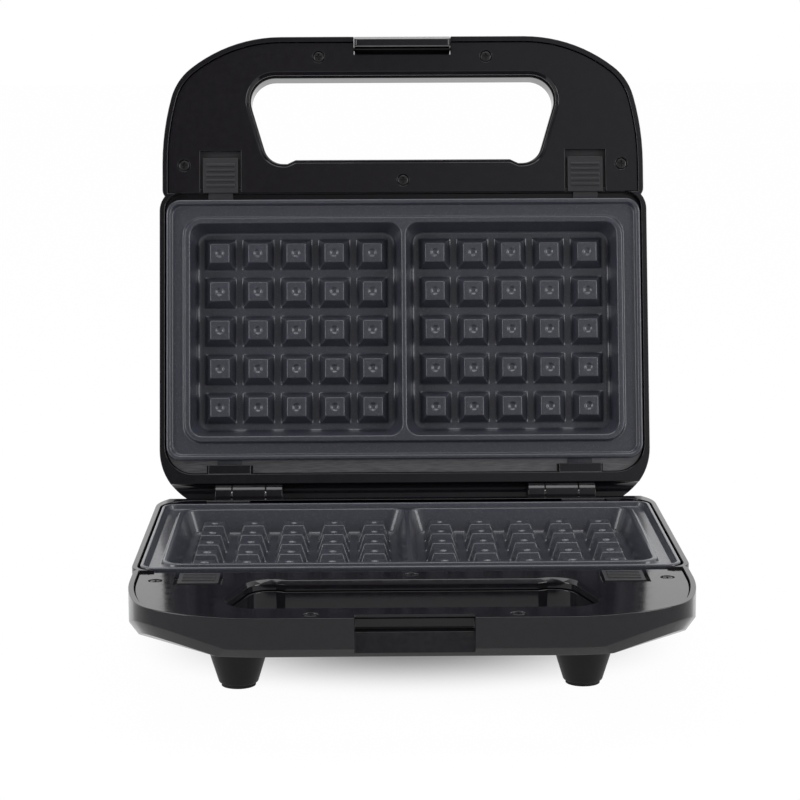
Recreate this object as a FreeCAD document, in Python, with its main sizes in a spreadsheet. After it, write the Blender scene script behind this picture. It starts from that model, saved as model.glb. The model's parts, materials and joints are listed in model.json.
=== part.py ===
"""Snack maker: a countertop cooker with two hinged halves, drawn with its lid open.

Both halves are drawn in one half frame and then seated. In it x runs to the right, "forward" is the
distance in front of the hinge axis, and "depth" is the distance outwards from the plane where the
halves meet. The base is the half frame turned over, and the lid is the half frame swung open.
"""
import FreeCAD, Part
import math
import os
import re

Vector = FreeCAD.Vector

# Driving dimensions, in millimetres and degrees
DRIVING = {
    # Stance and hinge
    "hinge_height": 55.5,
    "open_angle": 104.0,
    "stop_angle": 3.0,
    "barrel_radius": 5.0,
    "barrel_gap": 0.5,
    "hinge_pin_radius": 2.0,
    "pin_seat_gap": 0.02,
    "pin_running_gap": 0.05,
    "hinge_inset": 43.6,
    "knuckle_width": 16.0,
    "ear_width": 8.0,
    "ear_gap": 0.3,
    "web_half": 2.5,
    "web_depth": 8.0,
    # Cooking plates
    "stud_rows": 5,
    "stud_pitch_across": 18.75,
    "stud_pitch_forward": 19.0,
    "stud_base": 14.8,
    "stud_top": 9.6,
    "stud_height": 7.5,
    "stud_margin": 3.6,
    "dimple_radius": 2.1,
    "dimple_tip_radius": 0.9,
    "dimple_depth": 0.8,
    "cavity_depth": 11.0,
    "cavity_run": 3.4,
    "cavity_corner": 6.0,
    "divider_width": 2.0,
    "divider_drop": 1.0,
    "bead_width": 3.0,
    "bead_height": 1.9,
    "bead_corner": 9.0,
    "border_width": 6.5,
    "rim_width": 2.1,
    "rim_height": 2.5,
    "plate_corner": 7.0,
    "plate_flange": 2.5,
    "plate_wall": 2.5,
    "plate_face": 0.25,
    "plate_rear": 17.0,
    "front_lug_length": 3.0,
    "rear_lug_length": 5.0,
    "lug_thickness": 1.0,
    "lug_width": 12.0,
    "lug_gap": 0.3,
    # Outer shells
    "rim_level": 0.4,
    "skirt_depth": 22.5,
    "body_depth": 38.0,
    "body_draft": 0.5,
    "body_side_run": 32.0,
    "belly_bevel": 3.0,
    "rear_reach": 6.0,
    "rear_corner": 28.0,
    "front_corner": 11.0,
    "shell_wall": 2.5,
    "floor_wall": 2.5,
    "pocket_gap": 0.7,
    "pocket_corner": 14.0,
    "pocket_front_corner": 8.0,
    "well_gap": 2.0,
    "ledge_wall": 2.5,
    # Front bow with the handle
    "plate_front_gap": 3.5,
    "tongue_width": 16.1,
    "tongue_dip": 1.9,
    "opening_height": 44.3,
    "bar_width": 18.8,
    "base_lead": 2.5,
    "bow_inset": 1.4,
    "bow_rear_corner": 5.0,
    "shoulder_run": 59.6,
    "shoulder_radius": 71.0,
    "shoulder_angle": 38.6,
    "cheek_radius": 28.0,
    "cheek_angle": 75.0,
    "bow_front_depth": 17.0,
    "bow_bevel": 4.0,
    "bow_floor_wall": 3.0,
    "opening_top_inset": 39.6,
    "opening_bottom_inset": 52.8,
    "opening_upper_corner": 12.8,
    "opening_lower_corner": 10.5,
    "opening_step": 0.8,
    "opening_bevel": 1.6,
    "tongue_inset": 13.8,
    "tongue_ramp": 4.0,
    # Inner frames round the handles
    "frame_face": 1.4,
    "frame_thickness": 2.5,
    "frame_gap": 0.3,
    "frame_ledge": 2.0,
    "collar_height": 4.3,
    "collar_wall": 2.2,
    # Frame screws
    "outer_screw_inset": 12.0,
    "outer_screw_run": 13.7,
    "front_screw_x": 41.3,
    "front_screw_inset": 9.8,
    "middle_screw_run": 6.0,
    "screw_head_radius": 2.6,
    "screw_head_height": 1.1,
    "screw_sink": 1.3,
    "screw_sink_gap": 0.3,
    "screw_radius": 1.4,
    "screw_gap": 0.1,
    "screw_length": 9.0,
    "boss_radius": 4.0,
    # Plate release buttons
    "button_inset": 29.85,
    "button_width": 17.3,
    "button_length": 17.3,
    "button_face": 1.6,
    "rib_rows": 5,
    "rib_pitch": 2.55,
    "rib_thickness": 1.2,
    "rib_height": 0.6,
    "rib_inset": 1.7,
    "button_travel": 3.2,
    "window_width": 20.0,
    "window_gap": 0.3,
    "slider_lip": 0.8,
    "slider_thickness": 1.4,
    "slider_gap": 0.3,
    "rail_width": 2.5,
    "catch_width": 12.0,
    "catch_reach": 3.4,
    "catch_thickness": 1.25,
    "post_width": 8.0,
    "post_length": 4.0,
    "post_depth": 4.8,
    "post_run": 9.5,
    "spring_radius": 2.4,
    "spring_wire": 0.6,
    "spring_length": 13.0,
    "spring_wall": 2.0,
    "spring_wall_half": 5.0,
    # Heat reflectors, heaters and their clips
    "sheet_metal": 0.6,
    "reflector_rear": 10.9,
    "reflector_corner": 13.0,
    "reflector_front_corner": 5.0,
    "pan_corner": 12.0,
    "pan_gap": 1.2,
    "heater_radius": 3.25,
    "heater_gap": 0.3,
    "heater_side_inset": 31.3,
    "heater_end_inset": 16.0,
    "heater_bend": 14.0,
    "heater_tail_x": 14.0,
    "heater_tail_bend": 8.0,
    "heater_tail_reach": 4.0,
    "heater_hole_gap": 1.0,
    "clip_width": 10.0,
    "clip_length": 8.0,
    "clip_gap": 0.05,
    "clip_cover": 0.8,
    # Rear hooks that hold the plates
    "hook_inset": 34.0,
    "hook_width": 20.6,
    "hook_rear": 8.5,
    "hook_length": 6.1,
    "hook_face": 0.9,
    "hook_notch_gap": 1.0,
    # Latch on the lid and its notch in the base
    "latch_width": 47.0,
    "latch_side_gap": 0.4,
    "latch_slot_depth": 8.8,
    "latch_barrel_radius": 3.2,
    "latch_pivot_inset": 3.6,
    "latch_pivot_depth": 11.8,
    "latch_face_inset": 1.8,
    "latch_thickness": 2.2,
    "latch_reach": 6.5,
    "latch_hook_height": 3.2,
    "latch_catch_gap": 0.4,
    "latch_corner": 2.0,
    "latch_pin_radius": 1.25,
    "latch_pin_overlap": 5.0,
    "notch_depth": 8.8,
    "lip_thickness": 1.2,
    "notch_split": 8.3,
    "notch_pocket": 4.0,
    # Feet
    "foot_top_radius": 13.4,
    "foot_bottom_radius": 8.5,
    "foot_pad_radius": 7.5,
    "foot_pad_height": 1.5,
    "foot_inset": 44.6,
    "front_foot_inset": 17.7,
    "rear_foot": 20.0,
    # Indicator lights on the lid
    "lens_radius": 4.0,
    "lens_lip_radius": 5.0,
    "lens_lip": 0.8,
    "lens_round": 0.5,
    "lens_x": 14.0,
    "lens_inset": 22.5,
    "lens_gap": 0.1,
    "lamp_radius": 2.2,
    "lamp_length": 6.0,
    # Electrical parts in the base
    "thermostat_radius": 9.0,
    "thermostat_height": 6.0,
    "thermostat_gap": 1.0,
    "fuse_radius": 2.0,
    "fuse_length": 16.0,
    "fuse_x": 40.0,
    "terminal_length": 28.0,
    "terminal_width": 14.0,
    "terminal_height": 9.0,
    "terminal_run": 7.0,
    "terminal_hole_radius": 2.2,
    "terminal_hole_depth": 3.0,
    "terminal_hole_pitch": 9.0,
    "gland_depth": 28.0,
    "gland_radius": 7.0,
    "gland_bore": 3.6,
    "gland_flange_radius": 9.0,
    "gland_flange": 2.0,
    "gland_seat": 5.0,
    "gland_nose": 2.0,
    "gland_gap": 0.1,
    # Every cut runs this far past the face that it opens
    "overrun": 5.0,
}

# Sizes that follow from the driving dimensions
DERIVED = {
    "cavity_floor_length": "(stud_rows - 1) * stud_pitch_across + stud_base + 2 * stud_margin",
    "cavity_floor_width": "(stud_rows - 1) * stud_pitch_forward + stud_base + 2 * stud_margin",
    "cavity_length": "cavity_floor_length + 2 * cavity_run",
    "cavity_width": "cavity_floor_width + 2 * cavity_run",
    "cavity_centre": "(cavity_length + divider_width) / 2",
    "plate_edge": "bead_width + border_width + rim_width",
    "plate_half": "cavity_length + divider_width / 2 + plate_edge",
    "plate_front": "plate_rear + cavity_width + 2 * plate_edge",
    "plate_middle": "(plate_rear + plate_front) / 2",
    "tray_level": "plate_face + rim_height",
    "bead_level": "tray_level - bead_height",
    "plate_seat": "tray_level + plate_flange",
    "cavity_floor": "bead_level + cavity_depth",
    "plate_back": "cavity_floor + plate_wall",
    "stud_level": "cavity_floor - stud_height",
    "bead_half": "plate_half - rim_width - border_width",
    "bead_rear": "plate_rear + rim_width + border_width",
    "bead_front": "plate_front - rim_width - border_width",
    "lug_level": "plate_seat - lug_thickness",
    "pocket_half": "plate_half + pocket_gap",
    "rim_half_width": "pocket_half + shell_wall",
    "reflector_level": "plate_seat + sheet_metal",
    "pan_wall": "plate_wall + pan_gap + sheet_metal",
    "pan_half": "cavity_length + divider_width / 2 + pan_wall",
    "pan_rear": "plate_rear + plate_edge - pan_wall",
    "pan_front": "plate_front - plate_edge + pan_wall",
    "pan_turn": "plate_back + pan_gap + sheet_metal",
    "pan_back": "well_floor - thermostat_height - thermostat_gap",
    "pan_floor_half": "room_half - room_slope * (pan_back - room_turn) - well_gap",
    "well_half": "pan_half + well_gap",
    "well_rear": "pan_rear - well_gap",
    "well_front": "pan_front + well_gap",
    "well_floor": "body_depth - floor_wall",
    "frame_rear": "plate_front + plate_front_gap",
    "frame_seat": "frame_face + frame_thickness",
    "wall_rear": "frame_rear - frame_gap",
    "wall_front": "wall_rear + shell_wall",
    "body_front": "wall_front",
    "room_level": "reflector_level + ledge_wall",
    "room_turn": "skirt_depth - shell_wall",
    "room_slope": "body_side_run / (body_depth - skirt_depth)",
    "room_half": "rim_half_width - body_draft - shell_wall",
    "room_floor_half": "room_half - room_slope * (well_floor - room_turn)",
    "body_foot_half": "rim_half_width - body_side_run",
    "room_rear": "shell_wall + body_draft - rear_reach",
    "room_front": "wall_rear - body_draft",
    "tongue_edge": "frame_rear + tongue_width",
    "opening_bottom": "tongue_edge - tongue_dip",
    "opening_top": "opening_bottom + opening_height",
    "opening_half_top": "rim_half_width - opening_top_inset",
    "opening_half_bottom": "rim_half_width - opening_bottom_inset",
    "tongue_half": "opening_half_bottom - tongue_inset",
    "lid_front": "opening_top + bar_width",
    "base_front": "lid_front + base_lead",
    "bow_half_width": "rim_half_width - bow_inset",
    "front_flat_half": "rim_half_width - shoulder_run",
    "collar_seat": "frame_face + collar_height",
    "chamfer_angle": "(open_angle + stop_angle) / 2",
    "hinge_x": "rim_half_width - hinge_inset",
    "hinge_half": "knuckle_width / 2 + ear_gap + ear_width",
    "outer_screw_x": "rim_half_width - outer_screw_inset",
    "outer_screw": "frame_rear + outer_screw_run",
    "middle_screw": "frame_rear + middle_screw_run",
    "screw_seat": "frame_face + screw_sink",
    "button_x": "rim_half_width - button_inset",
    "button_front": "frame_rear + button_length",
    "window_front": "button_front + button_travel + window_gap",
    "slider_level": "frame_seat + slider_gap",
    "slider_back": "slider_level + slider_thickness",
    "slider_rear": "wall_front + slider_gap",
    "slider_half": "window_width / 2 + slider_lip",
    "rail_level": "slider_back + slider_gap",
    "post_rear": "frame_rear + post_run",
    "post_front": "post_rear + post_length",
    "spring_stop": "post_front + spring_length",
    "spring_level": "slider_back + post_depth / 2",
    "catch_back": "lug_level - lug_gap",
    "heater_level": "plate_back + heater_gap + heater_radius",
    "heater_half": "pan_half - heater_side_inset",
    "heater_rear": "pan_rear + heater_end_inset",
    "heater_front": "pan_front - heater_end_inset",
    "hook_x": "rim_half_width - hook_inset",
    "hook_front": "hook_rear + hook_length",
    "slot_half": "latch_width / 2 + latch_side_gap",
    "slot_rear": "lid_front - latch_slot_depth",
    "latch_pivot": "lid_front - latch_pivot_inset",
    "latch_outer": "lid_front - latch_face_inset",
    "latch_inner": "latch_outer - latch_thickness",
    "notch_rear": "base_front - notch_depth",
    "lip_level": "frame_face + lip_thickness",
    "foot_x": "rim_half_width - foot_inset",
    "front_foot": "body_front - front_foot_inset",
    "foot_height": "hinge_height - body_depth - foot_pad_height",
    "lens_forward": "body_front - lens_inset",
    "terminal_rear": "room_rear + terminal_run",
}

# An edge is picked when its ends lie within this share of the overrun of where it should be
PICK_SHARE = 0.01

doc = FreeCAD.newDocument("snack_maker")


def fill_sheet(name, rows):
    """Write one row of name and content for each size, and name each cell after its size."""
    sheet = doc.addObject("Spreadsheet::Sheet", name)
    for number, (alias, content) in enumerate(rows.items(), start=1):
        sheet.set(f"A{number}", alias)
        sheet.set(f"B{number}", content)
        sheet.setAlias(f"B{number}", alias)
    return sheet


def spelled(text):
    """Put the sheet's name before each size in an expression."""
    def word(match):
        name = match.group()
        if name in DRIVING:
            return f"sizes.{name}"
        return f"derived.{name}" if name in DERIVED else name
    return re.sub(r"[a-z_]+", word, text)


sizes = fill_sheet("sizes", {name: str(number) for name, number in DRIVING.items()})
derived = fill_sheet("derived", {name: f"={spelled(text)}" for name, text in DERIVED.items()})
doc.recompute()


def size(name):
    """The present value of one size."""
    return float((sizes if name in DRIVING else derived).get(name))


def bind(thing, **texts):
    """Bind properties to expressions; x, y and z stand for the place."""
    for key, text in texts.items():
        path = f"Placement.Base.{key}" if key in ("x", "y", "z") else key
        thing.setExpression(path, spelled(text))
    return thing


def turned(thing, axis, angle):
    thing.Placement = FreeCAD.Placement(Vector(), FreeCAD.Rotation(Vector(*axis), angle))
    return thing


def block(name, across, forward, depth):
    """A box between two limits in each direction of the half frame."""
    box = doc.addObject("Part::Box", name)
    return bind(
        box,
        Length=f"({across[1]}) - ({across[0]})",
        Width=f"({forward[1]}) - ({forward[0]})",
        Height=f"({depth[1]}) - ({depth[0]})",
        x=across[0],
        y=f"-({forward[1]})",
        z=depth[0],
    )


AXIS_TURNS = {"x": ((0, 1, 0), 90), "forward": ((1, 0, 0), 90), "depth": ((0, 0, 1), 0)}


def rod(name, radius, length, at, along="depth"):
    """A cylinder from a point of the half frame, along x, forward or depth."""
    cylinder = turned(doc.addObject("Part::Cylinder", name), *AXIS_TURNS[along])
    return bind(cylinder, Radius=radius, Height=length, x=at[0], y=f"-({at[1]})", z=at[2])


def cone(name, near_radius, far_radius, length, at, along="depth"):
    """A cone frustum from a point of the half frame."""
    taper = turned(doc.addObject("Part::Cone", name), *AXIS_TURNS[along])
    return bind(taper, Radius1=near_radius, Radius2=far_radius, Height=length,
                x=at[0], y=f"-({at[1]})", z=at[2])


def frustum(name, near, far, depth, at):
    """A block whose half length and half width change from the near depth to the far depth."""
    wedge = turned(doc.addObject("Part::Wedge", name), (1, 0, 0), 90)
    return bind(
        wedge,
        Xmin=f"-({near[0]})", Xmax=near[0], Zmin=f"-({near[1]})", Zmax=near[1],
        X2min=f"-({far[0]})", X2max=far[0], Z2min=f"-({far[1]})", Z2max=far[1],
        Ymin="0", Ymax=f"({depth[1]}) - ({depth[0]})",
        x=at[0], y=f"-({at[1]})", z=depth[0],
    )


def fused(name, things):
    union = doc.addObject("Part::MultiFuse", name)
    union.Shapes = things
    return union


def trimmed(name, base, tools):
    """The base less one or more tools."""
    cut = doc.addObject("Part::Cut", name)
    cut.Base = base
    cut.Tool = tools[0] if len(tools) == 1 else fused(f"{name}_tools", tools)
    return cut


def group(name, things):
    compound = doc.addObject("Part::Compound", name)
    compound.Links = things
    return compound


def repeated(name, source, places):
    """Copies of one recomputed object, each moved across and forward by a place."""
    doc.recompute()
    copies = doc.addObject("Part::Feature", name)
    copies.Shape = Part.makeCompound(
        [source.Shape.translated(Vector(across, -forward, 0)) for across, forward in places]
    )
    return copies


def rounded(name, base, radius, chosen, kind="Part::Fillet"):
    """Round, or bevel, the edges that the test picks."""
    doc.recompute()
    dressed = doc.addObject(kind, name)
    dressed.Base = base
    dressed.Edges = [
        (number, radius, radius)
        for number, edge in enumerate(base.Shape.Edges, start=1)
        if chosen(edge)
    ]
    return dressed


def upright(edge):
    """True for an edge that runs mostly along the depth."""
    ends = [vertex.Point for vertex in edge.Vertexes]
    rise = ends[-1] - ends[0]
    return len(ends) == 2 and abs(rise.z) > abs(rise.x) + abs(rise.y)


def mirrored(name, thing):
    """An object and its mirror image on the other side."""
    image = doc.addObject("Part::Mirroring", f"{name}_image")
    image.Source = thing
    image.Normal = Vector(1, 0, 0)
    return group(name, [thing, image])


def both_sides(places):
    return [(side * across, forward) for side in (-1, 1) for across, forward in places]


# Outlines in the half frame: lists of lines and arcs

def corner_path(corners):
    """Edges of a closed polygon of (x, forward, radius) with each corner rounded by its radius."""
    points = [Vector(x, -forward, 0) for x, forward, radius in corners]
    edges = []
    starts = []
    for index, (x, forward, radius) in enumerate(corners):
        here = points[index]
        before = (points[index - 1] - here).normalize()
        after = (points[(index + 1) % len(points)] - here).normalize()
        half = before.getAngle(after) / 2
        run = radius / math.tan(half)
        middle = (before + after).normalize() * (radius / math.sin(half) - radius)
        starts.append((here + before * run, here + middle, here + after * run, radius))
    for index, (enter, middle, leave, radius) in enumerate(starts):
        if radius > 0:
            edges.append(Part.Arc(enter, middle, leave))
        following = starts[(index + 1) % len(starts)][0]
        edges.append(Part.LineSegment(leave, following))
    return edges


def bow_half(front, inset):
    """Points of the right half of the bow: the ends and middles of its three tangent arcs."""
    turns = [0, size("shoulder_angle"), size("cheek_angle"), 90]
    points = [Vector(size("front_flat_half"), inset - front, 0)]
    middles = []
    for index, radius_name in enumerate(("shoulder_radius", "cheek_radius", None)):
        start, end = (math.radians(turn) for turn in turns[index:index + 2])
        here = points[-1]
        if radius_name:
            radius = size(radius_name) - inset
        else:
            radius = (size("bow_half_width") - inset - here.x) / (1 - math.sin(start))
        centre = here - Vector(radius * math.sin(start), -radius * math.cos(start), 0)
        for turn, store in (((start + end) / 2, middles), (end, points)):
            store.append(centre + Vector(radius * math.sin(turn), -radius * math.cos(turn), 0))
    return points, middles


def flipped(point):
    return Vector(-point.x, point.y, point.z)


def bow_path(front, inset, rear, corner):
    """Edges of the bow closed by straight sides and a rear edge with round corners."""
    points, middles = bow_half(front, inset)
    half = size("bow_half_width") - inset
    edges = [Part.LineSegment(flipped(points[0]), points[0])]
    for index, middle in enumerate(middles):
        edges.append(Part.Arc(points[index], middle, points[index + 1]))
    turn = corner * (1 - math.cos(math.pi / 4))
    tail = [Vector(half, -rear - corner, 0), Vector(half - turn, -rear - turn, 0)]
    tail.append(Vector(half - corner, -rear, 0))
    edges.append(Part.LineSegment(points[-1], tail[0]))
    if corner > 0:
        edges.append(Part.Arc(*tail))
    edges.append(Part.LineSegment(tail[-1], flipped(tail[-1])))
    if corner > 0:
        edges.append(Part.Arc(*[flipped(point) for point in reversed(tail)]))
    edges.append(Part.LineSegment(flipped(tail[0]), flipped(points[-1])))
    for index in reversed(range(len(middles))):
        ends = (points[index + 1], middles[index], points[index])
        edges.append(Part.Arc(*[flipped(point) for point in ends]))
    return edges


def opening_path(outset):
    """Edges of the finger opening in the handle, grown all round by an outset."""
    top = size("opening_top") + outset
    bottom = size("opening_bottom") - outset
    lean = (size("opening_half_top") - size("opening_half_bottom")) / (
        size("opening_top") - size("opening_bottom"))
    side = outset * math.sqrt(1 + lean * lean)
    half_top = size("opening_half_top") + side + lean * outset
    half_bottom = size("opening_half_bottom") + side - lean * outset
    tongue = size("tongue_edge") - outset
    right = [
        (size("tongue_half"), tongue, 0),
        (size("tongue_half") + size("tongue_ramp"), bottom, 0),
        (half_bottom, bottom, size("opening_lower_corner") + outset),
        (half_top, top, size("opening_upper_corner") + outset),
    ]
    left = [(-x, forward, radius) for x, forward, radius in reversed(right)]
    return corner_path(right + left)


def rectangle_path(half, rear, front, rear_corner, front_corner):
    return corner_path([
        (half, rear, rear_corner),
        (half, front, front_corner),
        (-half, front, front_corner),
        (-half, rear, rear_corner),
    ])


def outline(name, edges, depth):
    """A sketch of an outline at one depth."""
    sketch = doc.addObject("Sketcher::SketchObject", name)
    for edge in edges:
        sketch.addGeometry(edge)
    return bind(sketch, z=depth)


def slab(name, edges, depth):
    """An outline drawn out between two depths."""
    solid = doc.addObject("Part::Extrusion", name)
    solid.Base = outline(f"{name}_outline", edges, depth[0])
    solid.DirMode = "Normal"
    solid.Solid = True
    return bind(solid, LengthFwd=f"({depth[1]}) - ({depth[0]})")


def lofted(name, outlines):
    loft = doc.addObject("Part::Loft", name)
    loft.Sections = outlines
    loft.Solid = True
    loft.Ruled = True
    return loft


def side_profile(name, corners, half):
    """A polygon of (forward, depth) in the side view, drawn out across between two sides."""
    profile = doc.addObject("Part::Extrusion", name)
    closed = corners + corners[:1]
    polygon = Part.makePolygon([Vector(0, -forward, depth) for forward, depth in closed])
    face = doc.addObject("Part::Feature", f"{name}_outline")
    face.Shape = Part.Face(polygon)
    profile.Base = face
    profile.DirMode = "Custom"
    profile.Dir = Vector(1, 0, 0)
    profile.Solid = True
    return bind(profile, LengthFwd=half, LengthRev=half)


# Cooking plates

def stud_places():
    """Stud places from the first stud of the left cavity."""
    rows = range(int(size("stud_rows")))
    across = size("stud_pitch_across")
    forward = size("stud_pitch_forward")
    step = 2 * size("cavity_centre")
    return [(side * step + column * across, row * forward)
            for side in range(2) for column in rows for row in rows]


def plate_blank(half):
    """The rim and the tray inside it, with the bead that goes round both cavities."""
    rim = size("rim_width")
    corner = size("plate_corner")
    rear, front = size("plate_rear"), size("plate_front")
    blank = slab(f"{half}_plate_blank",
                 rectangle_path(size("plate_half"), rear, front, corner, corner),
                 ("plate_face", "plate_seat"))
    inner = corner - rim
    tray = slab(f"{half}_plate_tray",
                rectangle_path(size("plate_half") - rim, rear + rim, front - rim, inner, inner),
                ("plate_face - overrun", "tray_level"))
    corner = size("bead_corner")
    bead = slab(f"{half}_plate_bead",
                rectangle_path(size("bead_half"), size("bead_rear"), size("bead_front"), corner, corner),
                ("bead_level", "tray_level"))
    return trimmed(f"{half}_plate_rim", blank, [trimmed(f"{half}_plate_tray_cut", tray, [bead])])


def make_plate(half):
    """A cast plate: a rim, a bead round two tapered cavities, and rows of studs."""
    backs = []
    cavities = []
    for side, sign in (("left", "-"), ("right", "")):
        at = (f"{sign}cavity_centre", "plate_middle")
        back = frustum(
            f"{half}_plate_back_{side}",
            ("cavity_length / 2 + plate_wall", "cavity_width / 2 + plate_wall"),
            ("cavity_floor_length / 2 + plate_wall", "cavity_floor_width / 2 + plate_wall"),
            ("tray_level", "plate_back"), at)
        backs.append(rounded(f"{half}_plate_back_{side}_round", back,
                             size("cavity_corner") + size("plate_wall"), upright))
        cavity = frustum(
            f"{half}_cavity_{side}",
            ("cavity_length / 2", "cavity_width / 2"),
            ("cavity_floor_length / 2", "cavity_floor_width / 2"),
            ("bead_level", "cavity_floor"), at)
        cavities.append(rounded(f"{half}_cavity_{side}_round", cavity, size("cavity_corner"), upright))
    divider = block(f"{half}_divider_drop",
                    ("-divider_width", "divider_width"),
                    ("bead_rear + bead_width + cavity_corner",
                     "bead_front - bead_width - cavity_corner"),
                    ("bead_level - overrun", "bead_level + divider_drop"))
    front_lug = block(f"{half}_front_lug",
                      ("button_x - lug_width / 2", "button_x + lug_width / 2"),
                      ("plate_middle", "plate_front + front_lug_length"), ("lug_level", "plate_seat"))
    rear_lug = block(f"{half}_rear_lug",
                     ("hook_x - lug_width / 2", "hook_x + lug_width / 2"),
                     ("plate_rear - rear_lug_length", "plate_middle"), ("lug_level", "plate_seat"))
    lugs = [mirrored(f"{half}_{lug.Name}_pair", lug) for lug in (front_lug, rear_lug)]
    solid = fused(f"{half}_plate_solid", [plate_blank(half), *backs, *lugs])
    dish = trimmed(f"{half}_plate_dish", solid, [*cavities, divider])
    first = ("-cavity_centre - (stud_rows - 1) * stud_pitch_across / 2",
             "plate_middle - (stud_rows - 1) * stud_pitch_forward / 2")
    stud = frustum(f"{half}_stud", ("stud_top / 2", "stud_top / 2"),
                   ("stud_base / 2", "stud_base / 2"), ("stud_level", "cavity_floor"), first)
    dimple = cone(f"{half}_dimple", "dimple_radius", "dimple_tip_radius", "dimple_depth",
                  (*first, "stud_level"))
    studs = repeated(f"{half}_studs", stud, stud_places())
    dimples = repeated(f"{half}_dimples", dimple, stud_places())
    return trimmed(f"{half}_plate", fused(f"{half}_studded", [dish, studs]), [dimples])


# Outer shells

def bow_slope(front, forward):
    """Depth of the bow's underside, which rises from the body to the front edge."""
    fall = (size("skirt_depth") - size("bow_front_depth")) / (front - size("body_front"))
    return size("skirt_depth") - fall * (forward - size("body_front"))


def below_bow(name, front, start, wall):
    """All that lies below the bow's underside, or below the inner face of a wall on it."""
    ahead = front + size("overrun")
    below = size("skirt_depth") + size("overrun")
    wedge = [(start, bow_slope(front, start) - wall), (ahead, bow_slope(front, ahead) - wall),
             (ahead, below), (start, below)]
    return side_profile(name, wedge, "rim_half_width + overrun")


def make_hull(half, front):
    """The closed outer form: a rim round the plate and the bow of the handle, over a narrowing body."""
    draft = size("body_draft")
    rear = -size("rear_reach")
    corner = size("rear_corner")
    front_corner = size("front_corner")
    body_front = size("body_front")
    touch = PICK_SHARE * size("overrun")
    depth = ("rim_level", "skirt_depth")
    skirt = slab(f"{half}_skirt",
                 bow_path(front, 0, size("plate_front"), size("bow_rear_corner")), depth)
    around = rectangle_path(size("rim_half_width"), rear, body_front, corner, front_corner)
    rim = slab(f"{half}_rim", around, depth)
    body = lofted(f"{half}_body", [
        outline(f"{half}_body_top", around, "skirt_depth"),
        outline(f"{half}_body_foot",
                rectangle_path(size("body_foot_half"), rear + draft, body_front - draft,
                               corner - draft, front_corner - draft), "body_depth"),
    ])
    floor = size("body_depth") - touch
    belly = rounded(f"{half}_belly", body, size("belly_bevel"),
                    lambda edge: min(vertex.Z for vertex in edge.Vertexes) > floor, "Part::Chamfer")
    bow = trimmed(f"{half}_bow", skirt, [below_bow(f"{half}_underside", front, body_front, 0)])

    def lower_edge(edge):
        ends = [vertex.Point for vertex in edge.Vertexes]
        on_slope = all(abs(point.z - bow_slope(front, -point.y)) < touch for point in ends)
        return on_slope and max(-point.y for point in ends) > body_front + touch

    bevelled = rounded(f"{half}_bow_bevel", bow, size("bow_bevel"), lower_edge, "Part::Chamfer")
    return fused(f"{half}_hull", [rim, bevelled, belly])


def screw_places(front):
    """The five screws of a frame: two outer, two front and one in the middle."""
    pairs = [(size("outer_screw_x"), size("outer_screw")),
             (size("front_screw_x"), front - size("front_screw_inset"))]
    return both_sides(pairs) + [(0, size("middle_screw"))]


def at_screws(name, half, radius, depth, front):
    """Rods at the five screws of a half, between two depths."""
    pattern = rod(f"{half}_{name}", radius, f"({depth[1]}) - ({depth[0]})", ("0", "0", depth[0]))
    return repeated(f"{half}_{name}_set", pattern, screw_places(front))


def make_bow_hollow(half, front, front_wall):
    """The room inside the bow, which leaves the ledge, bosses, button rails and spring walls."""
    inset = size("shell_wall") + size("frame_ledge")
    depth = ("frame_face", "skirt_depth")
    room = slab(f"{half}_bow_room", bow_path(front, inset, size("wall_front"), 0), depth)
    tunnel = slab(f"{half}_bow_tunnel", opening_path(size("shell_wall")), depth)
    bosses = at_screws("boss", half, "boss_radius", depth, front)
    rail_places = (("inner", "button_x - slider_half - rail_width / 2"),
                   ("outer", "button_x + slider_half - rail_width / 2"))
    kept = [
        block(f"{half}_{side}_rail", (edge, f"{edge} + rail_width"),
              ("wall_front", "spring_stop"), ("rail_level", "skirt_depth"))
        for side, edge in rail_places
    ]
    kept.append(block(f"{half}_spring_wall",
                      ("button_x - spring_wall_half", "button_x + spring_wall_half"),
                      ("spring_stop", "spring_stop + spring_wall"), ("rail_level", "skirt_depth")))
    pairs = [mirrored(f"{thing.Name}_pair", thing) for thing in kept]
    floor = below_bow(f"{half}_bow_floor", front, size("body_front"), size("bow_floor_wall"))
    return trimmed(f"{half}_bow_hollow", room, [tunnel, bosses, front_wall, floor, *pairs])


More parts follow.
